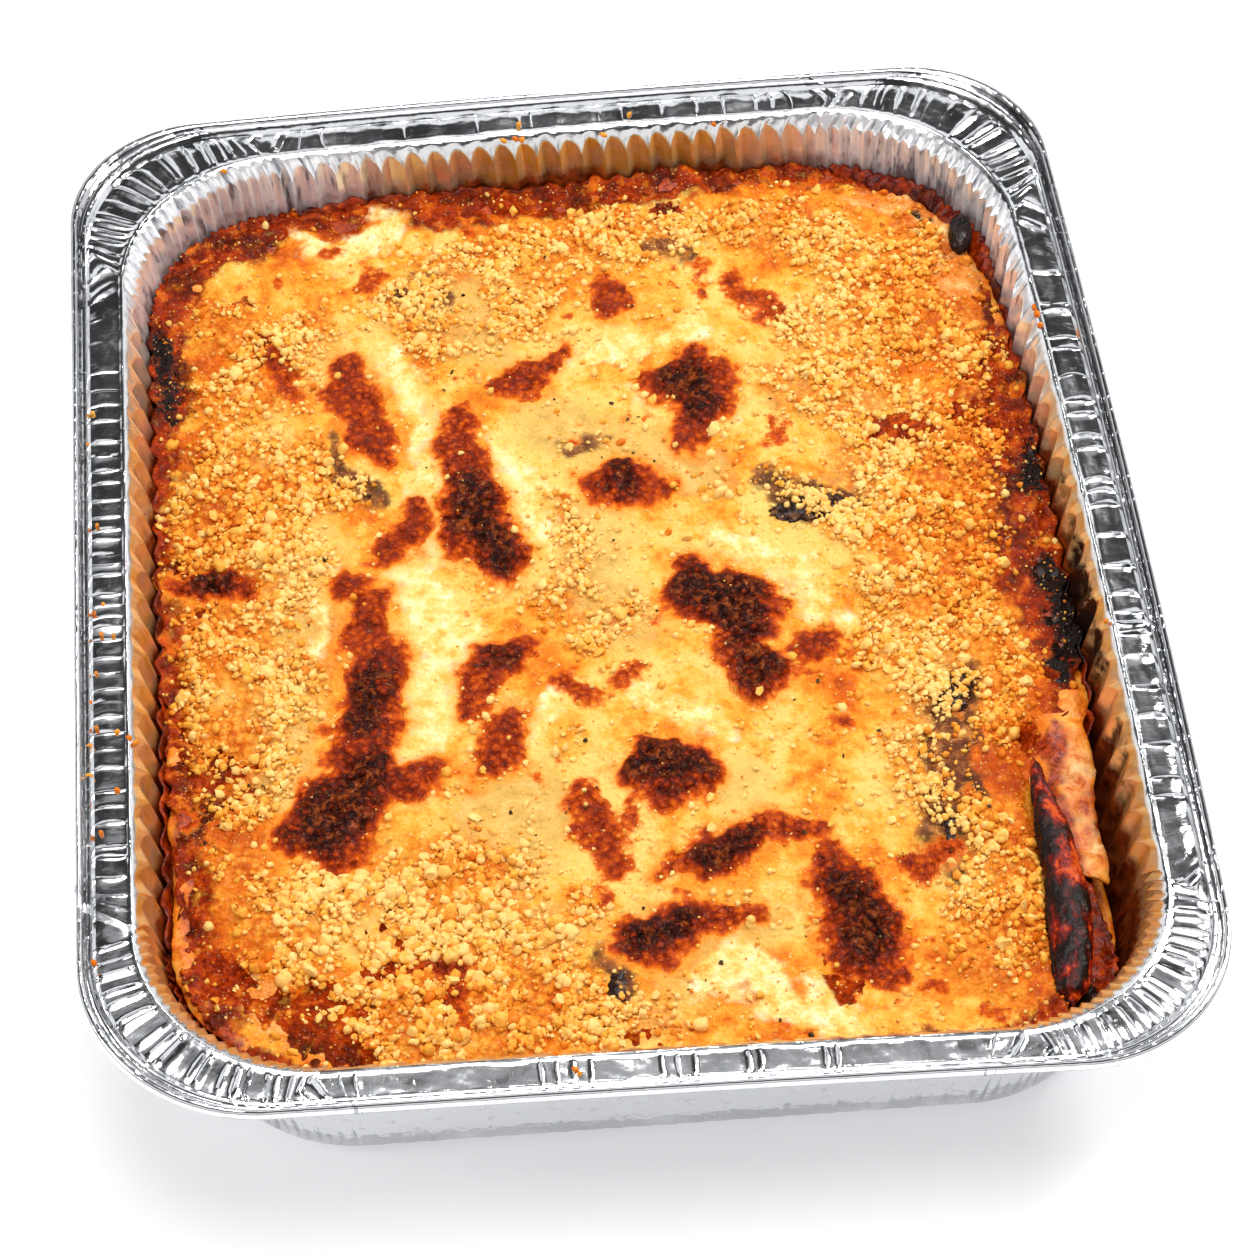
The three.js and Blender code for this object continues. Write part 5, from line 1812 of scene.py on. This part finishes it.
def build_crumbs(settings, blister_height):
    x, y, z, _, masks = cheese_surface(blister_height)
    weights = crumb_weights(x, y, masks)
    material = crumb_material(settings)
    for k, (name, (setting, small, large, detail, stand)) in enumerate(CRUMB_KINDS.items()):
        random = np.random.default_rng(160 + k)
        places, (i, j) = scatter(random, x, y, z, weights[name], getattr(settings, setting))
        radii = mix(small, large, random.random(len(places)) ** 1.6)
        heap = clumps(places[:, 0], places[:, 1]) * masks["crumb"][i, j]
        places[:, 2] = np.maximum(places[:, 2], lump_tops(places[:, 0], places[:, 1]))
        places[:, 2] += radii * stand + heap * random.random(len(places)) * 0.8
        tone = np.clip(0.12 + 0.56 * masks["toast"][i, j] + random.normal(0, 0.22, len(places)), 0, 1)
        piece = crumb_object(name, random, places, radii, tone, detail)
        finish_piece(piece, material, "baked_cheese")
    build_fallen_crumbs(material)
    build_herbs(x, y, z, masks)


# Crumbs that fell on the foil: x, y and radius. They lie with their middles at FALLEN_Z.
FALLEN_Z = 54.6
FALLEN_CRUMBS = (
    (-126.7, 52.7, 0.75), (-128.1, 42.1, 0.8), (-126.1, 15.8, 0.6), (-125, -9.3, 0.5), (-127.2, -11.9, 0.6),
    (-125.6, -18.6, 0.5), (-122.7, -19.1, 0.5), (-127, -30.4, 0.5), (-128.6, -39.1, 0.7),
    (-127.2, -46.9, 0.6), (-122.3, -48.5, 0.8), (-119.5, -50.5, 0.85), (-118, -52, 0.8), (-129, -52.4, 0.8),
    (-129.1, -61, 0.85), (-122.6, -65.6, 0.7), (-126.6, -77.7, 0.7), (-128.9, -113.9, 0.8),
    (116.8, 70.4, 0.8), (117.2, 67.9, 0.85), (117.4, 64.1, 0.8), (118.4, -33.8, 0.7), (-11.3, 146.9, 0.85),
    (-10.9, 140.9, 0.85), (-12.6, 141.4, 0.8), (-15.8, 140.9, 0.85), (11.1, 141.1, 0.8), (18.6, 148.5, 0.6),
    (-90.7, 135.3, 0.8), (41, 143, 0.7), (-21.8, -151.2, 0.8), (-20.9, -152.4, 0.6),
)


def build_fallen_crumbs(material):
    random = np.random.default_rng(171)
    x, y, radii = np.array(FALLEN_CRUMBS).T
    places = np.column_stack([x, y, np.full(len(x), FALLEN_Z)])
    tone = random.uniform(0.55, 1, len(x))
    piece = crumb_object("crumbs_on_foil", random, places, radii, tone, 2, 0.12)
    finish_piece(piece, material, "baked_cheese")


HERB_COUNT = 90


def build_herbs(x, y, z, masks):
    """Dark specks of dried herbs in the cheese and the sauce."""
    random = np.random.default_rng(181)
    weight = (0.3 + masks["veil"] + masks["dusk"]) * (1 - masks["sauce"])
    places, _ = scatter(random, x, y, z, weight, HERB_COUNT)
    radii = random.uniform(0.3, 0.75, HERB_COUNT)
    places[:, 2] += 0.2
    piece = crumb_object("herb_specks", random, places, radii, np.zeros(HERB_COUNT), 1, 0.3, 0.25)
    look = Finish("Dried herbs", Roughness=0.5, Specular_IOR_Level=0.2)
    look.set(Base_Color=look.ramp(look.noise(1.2), (0.35, paint(38, 24, 12)), (0.65, paint(96, 70, 26))))
    finish_piece(piece, look.material, "baked_cheese")


def crumb_material(settings):
    look = Finish("Toasted breadcrumb", Specular_IOR_Level=0.15)
    grain = look.noise(0.8, 3, 0.6)
    tone = look.shifted(look.attribute("tone"), grain, 0.15)
    colour = look.ramp(
        tone, (0.15, tuple(settings.pale)), (0.5, tuple(settings.golden)), (0.9, tuple(settings.toasted)),
    )
    look.set(Base_Color=colour, Roughness=look.span(grain, 0.3, 0.7, 0.3, 0.5))
    look.set(Normal=look.bump(grain, 0.25, 0.7))
    return look.material


# ---- Stage ----


class StageSettings(bpy.types.PropertyGroup):
    floor: colour_setting("Floor", "Colour of the floor", (0.93, 0.93, 0.935))
    sky_strength: FloatProperty(
        name="Sky", description="Brightness of the pale surroundings", default=1.0, min=0,
    )
    key_power: FloatProperty(
        name="Key light", description="Power of the large light above", default=9, unit="POWER",
    )
    lens: length_setting("Lens", "Focal length", 119.6)


CAMERA_PLACE = (-71.99, -648.72, 851.14)
CAMERA_AZIMUTH = -6.7441
CAMERA_ELEVATION = 51.8085
CAMERA_ROLL = 1.7557
SENSOR = 36


def build_camera(settings):
    azimuth, elevation, roll = (math.radians(a) for a in (CAMERA_AZIMUTH, CAMERA_ELEVATION, CAMERA_ROLL))
    flat = math.cos(elevation)
    back = Vector((math.sin(azimuth) * flat, -math.cos(azimuth) * flat, math.sin(elevation)))
    level = Vector((math.cos(azimuth), math.sin(azimuth), 0))
    upright = back.cross(level)
    right = level * math.cos(roll) + upright * math.sin(roll)
    up = upright * math.cos(roll) - level * math.sin(roll)
    turn = Matrix((right, up, back)).transposed().to_4x4()
    data = bpy.data.cameras.new("Camera")
    data.lens = settings.lens / MM
    data.sensor_width = SENSOR
    camera = bpy.data.objects.new("Camera", data)
    camera.matrix_world = Matrix.Translation(Vector(CAMERA_PLACE) * MM) @ turn
    bpy.context.scene.collection.objects.link(camera)
    bpy.context.scene.camera = camera


FLOOR_REACH = 3000
FLOOR_Z = -0.2


def build_floor(settings):
    signs = ((-1, -1), (1, -1), (1, 1), (-1, 1))
    corners = np.array([(x * FLOOR_REACH, y * FLOOR_REACH, FLOOR_Z) for x, y in signs])
    floor = even_faces("stage_floor", corners, np.array([[0, 1, 2, 3]]))
    look = Finish("Pale floor", Roughness=0.7, Specular_IOR_Level=0.1, Emission_Strength=0.24)
    look.set(Emission_Color=(1.0, 1.0, 1.0))
    shade = look.span(look.noise(400, 2, 0.5), 0.3, 0.7, 0.0, 0.04)
    look.set(Base_Color=look.blend(shade, tuple(settings.floor), (0.8, 0.82, 0.86)))
    floor.data.materials.append(look.material)


# Brightness of the surroundings from straight below, 0, over the horizon, 0.5, to straight above, 1.
SKY_STOPS = (
    (0.0, 1.0), (0.49, 1.0), (0.5, 0.08), (0.55, 0.08), (0.57, 0.5), (0.63, 0.66), (0.67, 0.95),
    (0.765, 0.95), (0.79, 0.04), (0.87, 0.03), (0.9, 0.06), (0.913, 0.16), (0.926, 0.27), (0.955, 0.36),
    (0.97, 0.78), (1.0, 0.72),
)
SKY_TINT = (0.99, 1, 1.015)


def build_sky(settings):
    """Dark at the horizon, pale above it, dark again half way up, where the flat foil mirrors it, and bright
    overhead."""
    world = bpy.data.worlds.new("Studio")
    world.use_nodes = True
    bpy.context.scene.world = world
    nodes, links = world.node_tree.nodes, world.node_tree.links
    background = nodes["Background"]
    background.inputs["Strength"].default_value = settings.sky_strength
    place = nodes.new("ShaderNodeTexCoord")
    split = nodes.new("ShaderNodeSeparateXYZ")
    spread = nodes.new("ShaderNodeMapRange")
    spread.inputs["From Min"].default_value = -1
    ramp = nodes.new("ShaderNodeValToRGB")
    greys = [(stop, tuple(level * tint for tint in SKY_TINT)) for stop, level in SKY_STOPS]
    fill_ramp(ramp.color_ramp, greys)
    links.new(place.outputs["Generated"], split.inputs["Vector"])
    links.new(split.outputs["Z"], spread.inputs["Value"])
    links.new(spread.outputs["Result"], ramp.inputs["Fac"])
    links.new(ramp.outputs["Color"], background.inputs["Color"])


LIGHTS = {  # place, what it points at, size, power as a share of the key light
    "overhead": ((0, -60, 1300), (0, 0, 0), 900, 1.0),
    "key_right": ((850, 480, 1150), (0, 0, 40), 450, 1.0),
    "spark_back": ((150, 840, 1180), (0, 0, 40), 60, 0.4),
    "left": ((-1200, -200, 700), (0, 0, 40), 500, 0.35),
}


def build_lights(settings):
    for name, (place, target, size, share) in LIGHTS.items():
        data = bpy.data.lights.new(name, "AREA")
        data.shape = "DISK"
        data.size = size * MM
        data.energy = settings.key_power * share
        light = bpy.data.objects.new(name, data)
        turn = (Vector(place) - Vector(target)).to_track_quat("Z", "Y").to_matrix().to_4x4()
        light.matrix_world = Matrix.Translation(Vector(place) * MM) @ turn
        bpy.context.scene.collection.objects.link(light)


# ---- Operators ----


class OBJECT_OT_foil_tray(bpy.types.Operator):
    """Build the fluted foil tray with its creased flange and rolled edge"""

    bl_idname = "object.tray_meal_foil"
    bl_label = "Foil tray"

    def execute(self, context):
        build_foil_tray(context.scene.tray_meal_foil)
        return {"FINISHED"}


class OBJECT_OT_baked_layers(bpy.types.Operator):
    """Build the filling, the ruffled sheet of pasta and the baked cheese"""

    bl_idname = "object.tray_meal_layers"
    bl_label = "Baked layers"

    def execute(self, context):
        settings = context.scene.tray_meal_food
        build_filling(settings)
        build_top_sheet(settings)
        build_cheese(settings)
        build_lower_layers(settings)
        return {"FINISHED"}


class OBJECT_OT_toppings(bpy.types.Operator):
    """Build the charred pepper, the dark pieces of aubergine and the burnt olive"""

    bl_idname = "object.tray_meal_toppings"
    bl_label = "Toppings"

    def execute(self, context):
        build_toppings(context.scene.tray_meal_toppings)
        return {"FINISHED"}


class OBJECT_OT_crumbs(bpy.types.Operator):
    """Strew the breadcrumbs over the baked cheese"""

    bl_idname = "object.tray_meal_crumbs"
    bl_label = "Breadcrumbs"

    def execute(self, context):
        build_crumbs(context.scene.tray_meal_crumbs, context.scene.tray_meal_food.blister_height / MM)
        return {"FINISHED"}


class OBJECT_OT_tray_stage(bpy.types.Operator):
    """Build the floor, the lights and the camera"""

    bl_idname = "object.tray_meal_stage"
    bl_label = "Stage"

    def execute(self, context):
        settings = context.scene.tray_meal_stage
        build_floor(settings)
        build_sky(settings)
        build_lights(settings)
        build_camera(settings)
        context.scene.view_settings.view_transform = "Standard"
        return {"FINISHED"}


class VIEW3D_PT_tray_meal(bpy.types.Panel):
    """The tray meal's pieces and settings"""

    bl_idname = "VIEW3D_PT_tray_meal"
    bl_label = "Foil tray meal"
    bl_space_type = "VIEW_3D"
    bl_region_type = "UI"
    bl_category = "Tray meal"

    def draw(self, context):
        for operator, group in PIECES:
            box = self.layout.box()
            box.operator(operator.bl_idname)
            settings = getattr(context.scene, group)
            for name in settings.bl_rna.properties.keys():
                if name not in ("rna_type", "name"):
                    box.prop(settings, name)


PIECES = (
    (OBJECT_OT_foil_tray, "tray_meal_foil"),
    (OBJECT_OT_baked_layers, "tray_meal_food"),
    (OBJECT_OT_toppings, "tray_meal_toppings"),
    (OBJECT_OT_crumbs, "tray_meal_crumbs"),
    (OBJECT_OT_tray_stage, "tray_meal_stage"),
)
SETTINGS = {
    "tray_meal_foil": FoilTraySettings,
    "tray_meal_food": FoodSettings,
    "tray_meal_toppings": ToppingSettings,
    "tray_meal_crumbs": CrumbSettings,
    "tray_meal_stage": StageSettings,
}


def register():
    for name, group in SETTINGS.items():
        bpy.utils.register_class(group)
        setattr(bpy.types.Scene, name, PointerProperty(type=group))
    for operator, _ in PIECES:
        bpy.utils.register_class(operator)
    bpy.utils.register_class(VIEW3D_PT_tray_meal)


def unregister():
    bpy.utils.unregister_class(VIEW3D_PT_tray_meal)
    for operator, _ in reversed(PIECES):
        bpy.utils.unregister_class(operator)
    for name, group in reversed(SETTINGS.items()):
        delattr(bpy.types.Scene, name)
        bpy.utils.unregister_class(group)


def main():
    register()
    bpy.ops.object.tray_meal_foil()
    bpy.ops.object.tray_meal_layers()
    bpy.ops.object.tray_meal_toppings()
    bpy.ops.object.tray_meal_crumbs()
    bpy.ops.object.tray_meal_stage()


if __name__ == "__main__":
    main()
